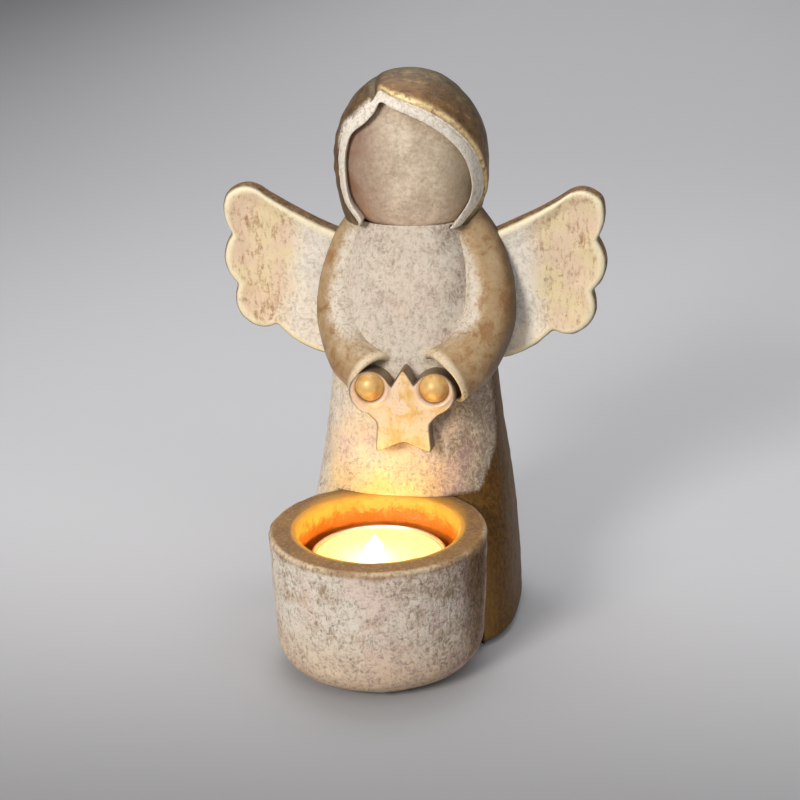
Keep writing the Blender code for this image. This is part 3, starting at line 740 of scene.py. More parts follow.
class AngelSizes(bpy.types.PropertyGroup):
    relief: length("Casting relief", "Depth of the fine unevenness of the castings", 0.13)
    swell: length("Casting swell", "Depth of the broad unevenness of the castings", 0.3)
    hammer: length("Well relief", "Depth of the dents in the well's wall", 0.45)
    band_width: length("Hair band width", "Width of the white band round the face", 2.5)
    lock_height: length("Lock height", "How far the swept lock stands over the hair", 1.0)
    wing_rim: length("Wing rim height", "How far the wing's edge stands over its face", 0.22)
    wing_dish: length("Wing dish depth", "How far the wing's face sinks inside its edge", 1.0)
    cuff_lip: length("Cuff lip", "Radius of the rolled edge of the cuffs", 0.6)
    hand_radius: length("Hand radius", "Radius of the ball hands", 4.4)
    seat_ring: length("Hand ring", "Height of the ring round each hand on the star", 0.5)
    flame_height: length("Flame height", "Height of the flame", 6.2)
    flame_radius: length("Flame radius", "Widest radius of the flame", 2.4)
    flame_glow: bpy.props.FloatProperty(name="Flame glow", default=14.0, min=0.0,
                                        description="Emission strength of the flame")
    wax_glow: bpy.props.FloatProperty(name="Wax glow", default=0.55, min=0.0,
                                      description="Emission strength of the lit wax")
    flame_power: bpy.props.FloatProperty(name="Flame light", default=0.028, min=0.0,
                                         description="Power of the candle's light", unit="POWER")


class AngelColours(bpy.types.PropertyGroup):
    wash: colour("Wash", "Cream whitewash", 226, 216, 200)
    wash_pink: colour("Pink wash", "Whitewash over the pink undertone", 224, 200, 184)
    wash_gold: colour("Wash, gold", "Yellow blush of the whitewash", 232, 212, 166)
    # painted candle glow on the skirt just above the pot
    painted_candle_glow: colour("Gold above the pot", "Gold rubbed on the skirt above the pot", 236, 190, 92)
    bib: colour("Bib wash", "Cool whitewash of the bib and the inner wings", 216, 206, 190)
    under: colour("Undercoat", "Brown left in the scratches", 138, 118, 98)
    mauve: colour("Mauve", "Mauve undercoat in patches", 150, 126, 120)
    bronze: colour("Bronze", "Rubbed bronze of rims and flanks", 150, 112, 66)
    # dark bronze paint; on the star's edges and hollows and the right sleeve's outside it is also
    # painted shade
    shade: colour("Dark bronze", "Bronze in the hollows and at the back", 74, 48, 12)
    # painted light: the lit part of the bronze flank beside the pot
    flank_painted_light: colour("Flank, rubbed", "Rubbed bronze beside the pot", 150, 112, 56)
    # bronze paint of the flanks and back; on the lower right flanks it is partly painted shade
    flank: colour("Flank bronze", "Bronze of the robe's flanks and back", 118, 80, 22)
    foot_tan: colour("Foot tan", "Tan that shows through near the floor", 206, 176, 140)
    lip_cream: colour("Cuff cream", "Cream on the cuffs' rolled edges", 240, 224, 192)
    # painted glints in the well's gold
    well_glint: colour("Well, light", "Yellow gold on the well's high spots", 214, 156, 62)
    rim_dark: colour("Rim", "Brown of the pot's rim", 120, 88, 58)
    well_deep: colour("Well, deep", "Gold in the well's dents", 196, 106, 28)
    gold: colour("Gold", "Rubbed gold", 224, 184, 116)
    # on the hair this gold is a painted highlight line along the lock
    gold_light: colour("Light gold", "Gold on the edges", 242, 216, 160)
    peach: colour("Peach", "Pink gold of the star's upper half", 236, 214, 190)
    sleeve_grey: colour("Sleeve wash, worn", "Worn tone of the wash on the sleeves", 168, 146, 114)
    hand_brown: colour("Hand brown", "Worn brown of the ball hands", 196, 142, 74)
    hair_gold: colour("Hair, rubbed gold", "Rubbed gold streaks of the hair", 170, 142, 92)
    hair: colour("Hair", "Bronze of the hair", 104, 90, 62)
    hair_dark: colour("Hair, dark", "Olive brown of the crown", 66, 56, 38)
    hair_warm: colour("Hair, warm", "Orange brown of the swept lock", 142, 94, 46)
    chalk: colour("Chalk", "White of the band round the face", 232, 224, 210)
    chalk_dark: colour("Chalk, worn", "Worn parts of the white band", 194, 180, 162)
    face: colour("Face", "Cream of the face", 226, 210, 186)
    face_mauve: colour("Face mauve", "Mauve brown blush on one side of the face", 138, 106, 92)
    face_mid: colour("Face, worn", "Worn cream of the face", 190, 172, 148)
    # painted shade on the face's right side
    face_shade: colour("Face, shade", "Grey brown of the face's far side", 150, 134, 110)
    sleeve: colour("Sleeve", "Satin gold-tan of the sleeves", 184, 158, 120)
    wing_grey: colour("Wing, grey", "Worn grey of the inner wing", 196, 186, 172)
    wing_pink: colour("Wing pink", "Pink blush of the wings' outer parts", 228, 200, 180)
    wing_white: colour("Wing white", "Clean whitewash of the wings near the body", 242, 234, 220)
    wing_peach: colour("Wing, peach", "Peach of the outer wing", 230, 212, 172)
    wing_brown: colour("Wing, brown", "Brown streaks of the outer wing", 174, 138, 104)
    # whitewash and a painted highlight on the wing's raised edge
    wing_cream: colour("Wing, edge", "Cream of the wing's raised edge", 244, 232, 198)
    wax_edge: colour("Wax, edge", "Glow of the wax at the can", 250, 196, 40)
    wax_glow: colour("Wax", "Glow of the wax", 252, 240, 84)
    wax_core: colour("Wax, core", "Glow of the wax by the wick", 255, 252, 190)
    flame_heart: colour("Flame heart", "Colour of the flame's middle", 255, 246, 224)
    flame_tip: colour("Flame tip", "Colour of the flame's tip", 255, 214, 120)
    candle: colour("Candle light", "Colour of the light that the flame gives", 255, 214, 146)
    floor: colour("Floor", "Colour of the studio floor", 194, 194, 196)
    # painted shade on the floor in front of the figure and to its sides
    floor_painted_shade: colour("Far floor", "Colour of the studio floor away from the figure", 116, 116, 118)
    key: colour("Key light", "Colour of the large soft light", 255, 250, 244)


# ------------------------------------------------------------------------------ shapes

def robe_shape(sizes):
    """Rounded sections stacked from foot to neck, hollowed round the pot.

    Each level is the curve |x/a|^n + |y/b|^n = 1. Below the pot's rim a point inside the pot's
    circle moves straight away from the pot's axis until it reaches the joint line.
    """
    ledge, collar = POT_HEIGHT + 0.12, NECK_Z + 0.2
    foot, top = (np.radians(np.linspace(*ends)) for ends in ((0.0, 90.0, 8), (15.0, 90.0, 5)))
    below, above = 48, 110
    z = np.concatenate([BASE_Z + ROBE_FOOT_ROUND * (1.0 - np.cos(foot)),
                        np.linspace(BASE_Z + 2.2, ledge - 0.02, below),
                        np.linspace(ledge, collar, above),
                        collar + NECK_ROUND * np.sin(top), np.full(3, collar + NECK_ROUND)])
    inset = np.concatenate([ROBE_FOOT_ROUND * (1.0 - np.sin(foot)), np.zeros(below + above),
                            NECK_ROUND * (1.0 - np.cos(top)), (4.2, 8.4, 11.9)])
    table = np.array(ROBE_SECTIONS)
    wide, front, back = flow(z, table[:, 0], table[:, 1:]).T
    a = (wide - inset)[:, None]
    b = ((back - front) / 2.0 - inset)[:, None]
    c, s = np.cos(circle(400)), np.sin(circle(400))
    fuller = (1.0 - step(34.0, 46.0, z))[:, None] * (s < 0.0) * step(0.0, 0.5, -s)
    power = ROBE_POWER + 0.55 * fuller
    reach = (np.abs(c / a) ** power + np.abs(s / b) ** power) ** (-1.0 / power)
    x = reach * c
    grid = xyz(x, ((front + back) / 2.0)[:, None] + reach * s, z[:, None])
    bare = facing(grid)
    outward = np.sign(np.sum(bare * (grid - ROBE_MIDDLE), axis=-1, keepdims=True))
    lean = np.sum(bare * outward * WASH_SIDE, axis=-1)
    grid = cast(grid, sizes, (2.6, 1.0, 11), (11.0, 0.25, 12),
                step(BASE_Z, BASE_Z + 4.0, grid[..., 2]))
    grid[..., 2] = z[:, None]
    share = np.clip(grid[..., 2] / POT_HEIGHT, 0.0, 1.0)
    wall = POT_FOOT + (POT_TOP - POT_FOOT) * share + JOINT_LINE
    dx, dy = grid[..., 0] - POT_X, grid[..., 1]
    near = np.hypot(dx, dy)
    push = np.where((grid[..., 2] < ledge - 0.01) & (near < wall), wall / near, 1.0)
    grid[..., 0], grid[..., 1] = POT_X + dx * push, dy * push
    # bare_side: the lower right flank turns to bronze, partly bronze paint and partly painted shade
    behind = np.maximum(grid[..., 1] - BRONZE_Y, 0.0)
    rising = (z[:, None] - BRONZE_Z - 0.9 * behind) / (2.5 + 0.5 * behind)
    bare_side = step(4.0, 16.0, x) * (1.0 - step(0.0, 1.0, rising))
    return grid, {"front": step(-0.05, 0.5, lean) * (1.0 - bare_side)}


def pot_shape(sizes):
    """The pot's profile turned about its axis: foot, wall, rim, lip, well, then relief."""
    foot, wall, top = POT_FOOT_ROUNDING, POT_FOOT - POT_FOOT_ROUNDING, POT_HEIGHT
    rim, lip, well = POT_TOP - RIM_ROUND, WELL_RADIUS + LIP_ROUND, WELL_RADIUS - WELL_ROUND
    parts = [line((2.0, BASE_Z), (wall, BASE_Z), 8),
             arc((wall, BASE_Z + foot), foot, -90.0, 0.0, 20),
             line((POT_FOOT, BASE_Z + foot), (POT_TOP, top - RIM_ROUND), 46),
             arc((rim, top - RIM_ROUND), RIM_ROUND, 0.0, 90.0, 9),
             line((rim, top), (lip, top), 9),
             arc((lip, top - LIP_ROUND), LIP_ROUND, 90.0, 180.0, 9),
             line((WELL_RADIUS, top - LIP_ROUND), (WELL_RADIUS, WELL_FLOOR + WELL_ROUND), 34),
             arc((well, WELL_FLOOR + WELL_ROUND), WELL_ROUND, 0.0, -90.0, 6),
             line((well, WELL_FLOOR), (1.0, WELL_FLOOR), 8)]
    kind = numbered(parts)[:, None]
    grid = turned(np.concatenate(parts), 420)
    grid = cast(grid, sizes, (2.8, 1.15, 21), (12.0, 0.5, 22),
                np.isin(kind, (1, 2, 3)) + np.isin(kind, (4, 5)) * 0.6)
    hammer = sizes.hammer / MM
    grid = worn(grid, [(3.0, hammer, 23), (7.0, hammer * 0.6, 24)], (kind == 6) * 1.0)
    grid[..., 2] = np.minimum(grid[..., 2], top)
    # flank: bronze at the back, the left edge and most at the right edge, where it is partly
    # painted shade
    right, back = (grid[..., 0] - POT_X) / POT_TOP, grid[..., 1] / POT_TOP
    turn = right - 0.25 * back
    flank = np.maximum(step(0.93, 1.03, turn), 0.45 * step(0.88, 0.97, -turn))
    flank = np.maximum(flank, step(0.2, 0.7, back))
    height = grid[..., 2] + 0.8 * lumps(grid, 6.0, 25)
    shoulder = np.where(kind <= 3, step(top - 2.6, top - 0.4, height), 1.0)
    inward = (rim - np.hypot(grid[..., 0] - POT_X, grid[..., 1])) / (POT_TOP - WELL_RADIUS)
    start = 0.45 - 0.4 * step(0.0, 0.7, back)
    gilt_and_highlight = np.where(kind == 4, 0.75 * step(start, start + 0.5, inward), kind >= 5)
    # edge: the cream line along the rim's rounded outer edge, whitewash and a painted highlight
    edge = np.zeros(len(kind))
    edge[kind[:, 0] == 3] = np.sin(np.linspace(0.1, math.pi - 0.1, len(parts[3])))
    edge = edge[:, None] * step(-0.5, 0.3, lumps(grid, 9.0, 26))
    return grid, {"rim": shoulder, "well": gilt_and_highlight, "flank": flank, "edge": edge}


def opening(theta):
    """Radius about the head's axis of the hair's front edge, for angles in degrees."""
    table = np.array(OPENING)
    angle, radius = np.radians(table[:, 0]), table[:, 1]
    x = OPENING_MIDDLE[0] + radius * np.cos(angle) - HEAD[0]
    z = OPENING_MIDDLE[1] + radius * np.sin(angle) - HEAD[2]
    bearing = np.degrees(np.unwrap(np.arctan2(z, x)))
    dense = np.linspace(bearing[0], bearing[-1], 700)
    reach = flow(dense, bearing, np.hypot(x, z))[:, 0]
    return np.interp(theta, dense, reach)


def hood_shape(sizes):
    """Hair as an egg with its front opened.

    Columns are angles round the front-to-back axis. Each column runs from the back of the head
    over the outside to the opening, over a rounded band, and back inside to the face's seat.
    Above the middle the egg is an ellipsoid; below it is a longer one, cut off at the neck.
    """
    theta = np.linspace(OPENING[-1][0] - 360.0, OPENING[-1][0], 420, endpoint=False)
    c, s = np.cos(np.radians(theta)), np.sin(np.radians(theta))
    tall = np.where(s > 0.0, HEAD_UP, HEAD_DOWN)
    silhouette = 1.0 / np.sqrt((c / HEAD_WIDE) ** 2 + (s / tall) ** 2)
    ends = step(-60.0, -54.0, theta) * (1.0 - step(230.0, 235.0, theta))
    thinner = 1.0 - 0.08 * step(150.0, 178.0, theta)
    upper = ends * step(-52.0, -25.0, theta) * (1.0 - step(200.0, 230.0, theta))
    width = sizes.band_width / MM * thinner * (0.72 + 0.28 * upper)
    inner = opening(theta)
    edge = np.minimum(inner + width, silhouette * 0.992)
    reach = math.pi - np.arcsin(np.clip(edge / silhouette, 0.0, 1.0))
    reach = reach * ends + math.radians(110.0) * (1.0 - ends)
    phi = reach * np.linspace(0.0, 1.0, 122)[1:, None]
    radius = silhouette * np.sin(phi)
    depth = HEAD_DEEP * np.cos(phi)
    gap = (reach - phi) * HEAD_MEAN
    lock = step(-48.0, -15.0, theta) * (1.0 - step(PARTING - 7.0, PARTING, theta))
    crest = np.exp(-((gap - 2.2) / 3.4) ** 2)
    parting = np.exp(-((theta - PARTING) / 2.4) ** 2) * np.exp(-(gap / 9.0) ** 2)
    left = step(PARTING, PARTING + 6.0, theta) * (1.0 - step(196.0, 226.0, theta))
    grow = sizes.lock_height / MM * lock * (0.35 + 0.65 * crest) * np.exp(-(gap / 16.0) ** 2)
    grow = grow - 0.8 * parting + 0.2 * left * crest
    grow = grow * np.clip(gap / 0.9, 0.0, 1.0)
    wander = 2.5 * lumps(xyz(radius * c, depth + HEAD[1], radius * s), 6.0, 35)
    strands = 0.1 * np.sin(np.radians(theta - PARTING) * 26.0 + wander)
    grow = grow + strands * np.exp(-((gap - 6.0) / 7.0) ** 2) * (left + 0.4 * lock)
    scale = 1.0 + grow / np.maximum(np.hypot(radius, depth), 1.0)
    outer = HEAD + xyz(radius * c * scale, depth * scale, radius * s * scale)
    outer = cast(outer, sizes, (3.0, 1.0, 31), (9.0, 0.5, 32), np.clip(gap / 2.0, 0.0, 1.0))
    edge_radius, edge_depth = silhouette * np.sin(reach), HEAD_DEEP * np.cos(reach)
    lip_radius = inner * ends + edge_radius * (1.0 - ends)
    lip_depth = -HEAD_DEEP * np.sqrt(1.0 - np.minimum(inner / silhouette, 0.98) ** 2)
    lip_depth = lip_depth * ends + (edge_depth + 0.3) * (1.0 - ends)
    u = np.linspace(0.0, 1.0, 15)[1:, None]
    bulge = np.sqrt(np.clip(1.0 - (2.0 * u - 1.0) ** 2, 0.0, 1.0)) * ends
    band_radius = edge_radius * (1.0 - u) + lip_radius * u
    band_depth = edge_depth * (1.0 - u) + lip_depth * u - bulge
    band = HEAD + xyz(band_radius * c, band_depth, band_radius * s)
    band[..., 1] += 0.26 * lumps(band, 2.2, 33) * (1.0 - u)
    w = np.linspace(0.0, 1.0, 9)[1:, None]
    wall_depth = lip_depth * (1.0 - w) + np.maximum(FACE_SEAT, lip_depth + 0.2) * w
    wall_radius = lip_radius * (1.0 + 0.015 * w)
    wall = HEAD + xyz(wall_radius * c, wall_depth, wall_radius * s)
    v = np.linspace(1.0, 0.06, 8)[1:, None]
    last = wall_radius[-1] * v
    floor = HEAD + xyz(last * c, wall_depth[-1] + 3.0 * (1.0 - v), last * s)
    grid = np.concatenate([outer, band, wall, floor])
    grid[..., 2] = np.maximum(grid[..., 2], NECK_Z + JOINT_LINE)
    inside = (len(grid) - len(outer), len(theta))
    chalk = 0.62 * np.exp(-(gap / 3.2) ** 2) * left * (1.0 - step(150.0, 185.0, theta))
    chalk = chalk + 0.15 * np.exp(-(gap / 3.0) ** 2) * left
    # painted highlight: a light gold line along the swept lock's edge
    gilt_and_highlight = np.exp(-((gap - 1.0) / 0.8) ** 2) * lock
    warm = np.exp(-(gap / 10.0) ** 2) * (lock + 0.7 * left)
    paint = {"chalk": chalk, "gilt_and_highlight": gilt_and_highlight, "lock": warm}
    paint = {label: np.concatenate([value, np.zeros(inside)]) for label, value in paint.items()}
    paint["rim"] = np.concatenate([1.0 - step(0.0, 0.6, gap), np.ones(inside)])
    return grid, paint


def ball_shape(middle, half, rows, cols, layers):
    """An ellipsoid: middle + half * (cos u sin v, cos v, sin u sin v), from back to front."""
    v = np.linspace(0.0, math.pi, rows + 2)[1:-1, None]
    u = circle(cols)
    unit = xyz(np.cos(u) * np.sin(v), np.cos(v), np.sin(u) * np.sin(v))
    return worn(middle + half * unit, layers)


def sleeve_shape(sizes, side):
    """A round section swept along a smooth path, with a domed top and a rolled, hollow cuff."""
    table = np.array(SLEEVE_POINTS)
    knots = np.arange(len(table), dtype=float)
    count = 110
    rows = flow(np.linspace(0.0, knots[-1], count), knots, table)
    centre, width = rows[:, :3], rows[:, 3] * SLEEVE_SCALE[side]
    ahead = np.gradient(centre, axis=0)
    ahead /= np.linalg.norm(ahead, axis=1, keepdims=True)
    t = np.linspace(0.0, 1.0, count)
    width = width + 0.5 * step(0.9, 1.0, t)
    lip = sizes.cuff_lip / MM
    dome = np.radians(np.linspace(8.0, 82.0, 9))
    roll = np.radians(np.linspace(10.0, 180.0, 12))
    bore = np.linspace(0.0, 1.0, 12)[1:]
    floor = np.array([0.75, 0.45, 0.15])
    last = width[-1]
    hollow = last - 2.0 * lip
    radius = np.concatenate([width[0] * np.sin(dome), width, last - lip + lip * np.cos(roll),
                             hollow * (1.0 - 0.06 * bore), hollow * 0.94 * floor])
    shift = np.concatenate([-width[0] * np.cos(dome) * 0.7, np.zeros(count), lip * np.sin(roll),
                            -CUFF_DEPTH * bore, np.full(len(floor), -CUFF_DEPTH)])
    tail = len(radius) - len(dome) - count
    pick = np.concatenate([np.zeros(len(dome), int), np.arange(count), np.full(tail, count - 1)])
    middle, forward = centre[pick], ahead[pick]
    out = np.array([1.0, 0.0, 0.0]) - forward[:, :1] * forward
    out /= np.linalg.norm(out, axis=1, keepdims=True)
    over = np.cross(forward, out)
    angle = circle(120)[None, :, None]
    spoke = np.cos(angle) * out[:, None] + np.sin(angle) * over[:, None]
    grid = (middle + forward * shift[:, None])[:, None] + radius[:, None, None] * spoke
    grid = cast(grid, sizes, (3.0, 0.6, 41), (9.0, 1.0, 42))
    grid[..., 0] = side * (grid[..., 0] + SLEEVE_SHIFT[side])
    on_lip = np.concatenate([np.zeros(len(dome)), step(0.955, 0.99, t), np.ones(len(roll)),
                             1.0 - bore * 2.0, np.zeros(len(floor))])
    washed = np.concatenate([np.ones(len(dome)), 1.0 - 0.75 * step(0.6, 0.85, t), np.zeros(tail)])
    low, high, start, share = SLEEVE_PAINT[side]
    inner = step(low, high, -spoke[..., 0] * 0.9 + spoke[..., 1] * 0.1) * washed[:, None]
    # outer: the dark outside; its stronger share on the right sleeve is painted shade
    outer = step(start, 0.85, spoke[..., 0] * 0.85 + spoke[..., 1] * 0.5) * share
    return grid, {"inner": inner, "outer": outer, "lip": np.clip(on_lip, 0.0, 1.0)[:, None]}


def evenly(points, count):
    """A closed outline resampled at equal steps along its length."""
    looped = np.concatenate([points, points[:1]])
    run = np.concatenate([[0.0], np.cumsum(np.linalg.norm(np.diff(looped, axis=0), axis=1))])
    at = np.linspace(0.0, run[-1], count, endpoint=False)
    return np.stack([np.interp(at, run, looped[:, k]) for k in range(2)], axis=1)


def softened(points, reach):
    """A closed outline averaged over a few neighbours each way."""
    offsets = range(-reach, reach + 1)
    return sum(np.roll(points, shift, axis=0) for shift in offsets) / (2.0 * reach + 1.0)


def tablet(outline, middle, thick, rounding, depth_of, inner_rows=44):
    """A thick plate over an outline: front face, rounded edge, wall, rounded edge, flat back.

    The front runs from the middle to the outline. depth_of(inset, x, z) gives its depth, and
within rounding of the edge a quarter circle is added. Returns the grid, each point's distance
    from the edge, and each row's kind: 0 on the front, 1 on the wall, 2 on the back.
    """
    spoke = outline - middle
    size = np.linalg.norm(spoke, axis=1)
    turn = np.radians(np.linspace(15, 90, 6))[:, None]

    def rows(*parts):
        return np.concatenate([np.broadcast_to(part, (len(part), len(size))) for part in parts])

    def on(inset):
        return middle + spoke * (1.0 - inset / size)[..., None]

    share = np.linspace(0.04, 1.0, inner_rows)[:-1, None]
    front_inset = rows((size - PLATE_RIM) * (1.0 - share) + PLATE_RIM,
                       np.linspace(PLATE_RIM, rounding, 12)[:, None],
                       rounding * (1.0 - np.sin(turn)))
    close = np.clip(rounding - front_inset, 0.0, rounding)
    drop = rounding - np.sqrt(rounding ** 2 - close ** 2)
    wall_depth = np.linspace(rounding, thick - rounding, 8)[1:, None]
    wall_inset = np.zeros((len(wall_depth), len(size)))
    back_share = np.linspace(0.08, 0.96, 12)[:, None]
    back_inset = rows(rounding * (1.0 - np.cos(turn)), (size - rounding) * back_share + rounding)
    inset = np.concatenate([front_inset, wall_inset, back_inset])
    flat = on(inset)
    ahead = flat[:len(front_inset)]
    depth = rows(depth_of(front_inset, ahead[..., 0], ahead[..., 1]) + drop, wall_depth,
                 thick - rounding + rounding * np.sin(turn), np.full((12, 1), thick))
    kind = numbered((front_inset, wall_inset, back_inset))[:, None]
    return xyz(flat[..., 0], depth, flat[..., 1]), inset, kind


def wing_shape(sizes, side):
    """A scalloped plate whose face sinks inside a raised edge."""
    corners = np.array(WING_OUTLINE)
    t = np.linspace(0.0, 1.0, 60, endpoint=False)[:, None]
    runs = []
    for start, end in zip(corners, np.roll(corners, -1, axis=0)):
        dx, dz = end[0] - start[0], end[1] - start[1]
        rise = start[2] * 2.0 * t * (1.0 - t)
        runs.append(start[:2] + (dx, dz) * t + (dz, -dx) * rise)
    outline = softened(evenly(np.concatenate(runs), 460), 3) * (side, 1.0)
    middle = np.array(WING_MIDDLE) * (side, 1.0)
    high, deep = sizes.wing_rim / MM, sizes.wing_dish / MM

    def depth_of(inset, x, z):
        rim = np.exp(-((inset - 1.8) / 1.2) ** 2)
        return deep * step(2.2, 8.0, inset) - high * rim

    grid, inset, kind = tablet(outline, middle, WING_THICK, WING_ROUND, depth_of)
    grid[..., 1] += WING_FRONT
    front = kind == 0
    grid = cast(grid, sizes, (2.6, 1.0, 51), (10.0, 1.0, 52), np.where(front, 1.0, 0.5))
    # edge: cream on the raised edge, whitewash and a painted highlight
    edge = front * (1.0 - step(1.2, 3.2, inset))
    wall = np.where(front, 1.0 - step(0.25, 0.9, inset), 1.0)
    outer = step(26.0, 46.0, np.abs(grid[..., 0]) + 0.15 * (grid[..., 2] - 100.0))
    return grid, {"edge": edge, "wall": wall, "outer": outer}


def star_outline():
    """Radius of a soft five-pointed star against angle, its side arms rounded into discs."""
    tips = np.radians(90.0 + 72.0 * np.arange(5))
    reach = np.where(np.isin(np.arange(5), (1, 4)), STAR_ARM, STAR_TIP)
    angle = np.stack([tips, tips + math.radians(36.0)], axis=1).reshape(-1, 1)
    radius = np.stack([reach, np.full(5, STAR_NOTCH)], axis=1).reshape(-1, 1)
    points = radius * np.hstack([np.cos(angle), np.sin(angle)])
    edge = softened(softened(evenly(points, 600), 6), 6)
    angle = np.arctan2(edge[:, 1], edge[:, 0]) % (2.0 * math.pi)
    order = np.argsort(angle)
    radius = np.hypot(edge[:, 0], edge[:, 1])
    theta = circle(520)
    radius = np.interp(theta, angle[order], radius[order], period=2.0 * math.pi)
    for x, z in STAR_HANDS:
        along = x * np.cos(theta) + (z - DISC_DROP) * np.sin(theta)
        inside = STAR_DISC ** 2 - x ** 2 - (z - DISC_DROP) ** 2 + along ** 2
        disc = along + np.sqrt(np.maximum(inside, 0.0))
        radius = np.maximum(radius, np.where((inside > 0.0) & (along > 0.0), disc, 0.0))
    return softened(np.stack([radius * np.cos(theta), radius * np.sin(theta)], axis=1), 2)


def star_shape(sizes):
    """A fat star leaning back, with a hollow and a raised ring for each hand."""
    ring = sizes.seat_ring / MM
    ball = sizes.hand_radius / MM

    def depth_of(_, x, z):
        depth = 0.0
        for hand_x, hand_z in STAR_HANDS:
            far = np.hypot(x - hand_x, z - hand_z)
            depth = depth - ring * np.exp(-((far - ball - 0.7) / 0.6) ** 2)
            depth = depth + STAR_HOLLOW * (1.0 - step(ball - 1.6, ball + 0.2, far))
        return depth

    grid, inset, kind = tablet(star_outline(), np.zeros(2), STAR_THICK, STAR_ROUND, depth_of, 64)
    grid = cast(grid, sizes, (2.4, 0.7, 61), (7.0, 0.6, 62))
    x, y, z = np.moveaxis(grid, -1, 0)
    # painted shade: side is high on the rounded front edge, the wall, the back and in each hand's
    # hollow
    side = np.where(kind == 0, 1.0 - step(0.1, 1.0, inset), 1.0)
    pale = np.zeros(x.shape)
    for hand_x, hand_z in STAR_HANDS:
        far = np.hypot(x - hand_x, z - hand_z)
        pale = np.maximum(pale, np.exp(-(far - ball - 0.8) ** 2) * (kind == 0))
        side = np.maximum(side, 1.0 - step(ball - 0.6, ball + 0.3, far))
    c, s = math.cos(STAR_LEAN), math.sin(STAR_LEAN)
    return STAR + xyz(x, y * c + z * s, z * c - y * s), {"side": side, "pale": pale}


def can_shape():
    """The can's drawn wall with fine flutes, its rolled bead and its dished bottom."""
    wall, bead, top = CAN_RADIUS - 0.4, 0.35, CAN_TOP
    parts = [line((1.0, CAN_BOTTOM + 0.35), (11.0, CAN_BOTTOM + 0.35), 5),
             line((11.4, CAN_BOTTOM), (wall - 0.8, CAN_BOTTOM), 4),
             arc((wall - 0.8, CAN_BOTTOM + 0.8), 0.8, -90.0, 0.0, 6),
             line((wall, CAN_BOTTOM + 0.8), (wall, top - 0.9), 14),
             arc((wall, top - bead - 0.05), bead + 0.05, -60.0, 180.0, 12),
             line((wall - 0.45, top - 0.5), (wall - 0.5, CAN_BOTTOM + 1.0), 14),
             line((wall - 0.9, CAN_BOTTOM + 0.5), (1.0, CAN_BOTTOM + 0.5), 5)]
    grid = turned(np.concatenate(parts), 288)
    angle = circle(288)
    depth = (numbered(parts) == 3)[:, None] * FLUTE_DEPTH * np.sin(angle * FLUTES)
    return grid + xyz(np.cos(angle) * depth, np.sin(angle) * depth, 0.0)


def wax_shape():
    """The wax: a shallow melted pool, raised where it wets the wick and the can."""
    wall, dip = CAN_RADIUS - 1.05, 0.35
    pool = np.linspace(wall, 1.6, 44)
    melted = WAX_TOP - dip + dip * step(14.5, wall, pool) ** 2 + 0.3 * (1.0 - step(1.6, 3.4, pool))
    radius = np.concatenate([np.linspace(2.0, wall, 6), np.full(10, wall), pool])
    height = np.concatenate([np.full(6, WAX_BOTTOM),
                             np.linspace(WAX_BOTTOM + 0.5, WAX_TOP - 0.2, 10), melted])
    grid = turned(np.stack([radius, height], axis=1), 144)
    return grid, {"out": np.clip(radius / wall, 0.0, 1.0)[:, None]}


def wick_shape():
    """A braided cord, straight in the wax and bent over at its charred tip."""
    t = np.linspace(0.0, 1.0, 60)[:, None]
    height = WAX_BOTTOM + (WICK_TOP - WAX_BOTTOM) * np.minimum(t * 1.02, 1.0)
    bend = 1.5 * step(0.8, 1.0, t)
    angle = circle(36)
    radius = WICK_RADIUS * (1.0 - 0.45 * step(0.93, 1.0, t))
    strand, pitch = angle * 3.0, t * 60.0
    radius = radius * (1.0 + 0.09 * np.sin(pitch + strand) * np.sin(pitch - strand))
    return xyz(POT_X - bend + radius * np.cos(angle), radius * np.sin(angle) - 0.3 * bend,
               height - 0.25 * bend)


def flame_shape(sizes):
    """A drop: radius = r sin(pi t^0.62)^1.1 at the share t of its height."""
    t = np.linspace(0.0, 1.0, 42)[1:-1]
    radius = sizes.flame_radius / MM * np.sin(math.pi * t ** 0.62) ** 1.1
    height = WAX_TOP + 0.3 + sizes.flame_height / MM * t
    grid = turned(np.stack([radius, height], axis=1), 48, FLAME_MIDDLE)
    return grid, {"tip": t[:, None]}


def floor_shape():
    """A round floor that curves up into a wall far away, as rings of radius and height."""
    flat = np.stack([FLOOR_REACH * np.linspace(0.06, 1.0, 110) ** 2, np.zeros(110)], axis=1)
    rise = arc((FLOOR_REACH, WALL_ROUND), WALL_ROUND, -90.0, 0.0, 24)[1:]
    wall = np.stack([np.full(6, FLOOR_REACH + WALL_ROUND), np.linspace(1.3, WALL_TOP, 6)], axis=1)
    return turned(np.concatenate([flat, rise, wall]), 128, (0.0, 0.0))


# --------------------------------------------------------------------------- operators

def choices(context):
    """The sizes and the colours set in the open scene."""
    return context.scene.angel_sizes, context.scene.angel_colours


class ANGEL_OT_robe(bpy.types.Operator):
    """Robe with the bib and shoulders, hollowed for the pot"""
    bl_idname = "angel.robe"
    bl_label = "Robe"
    bl_options = {"REGISTER", "UNDO"}

    def execute(self, context):
        sizes, colours = choices(context)
        grid, paint = robe_shape(sizes)
        shell("robe_casting", grid, FIGURE, robe_finish(colours),
              ("robe",), paint)
        return {"FINISHED"}


class ANGEL_OT_pot(bpy.types.Operator):
    """Candle pot with its hammered well"""
    bl_idname = "angel.pot"
    bl_label = "Candle pot"
    bl_options = {"REGISTER", "UNDO"}

    def execute(self, context):
        sizes, colours = choices(context)
        grid, paint = pot_shape(sizes)
        shell("candle_pot", grid, FIGURE, pot_finish(colours),
              ("candle_cup",), paint)
        return {"FINISHED"}


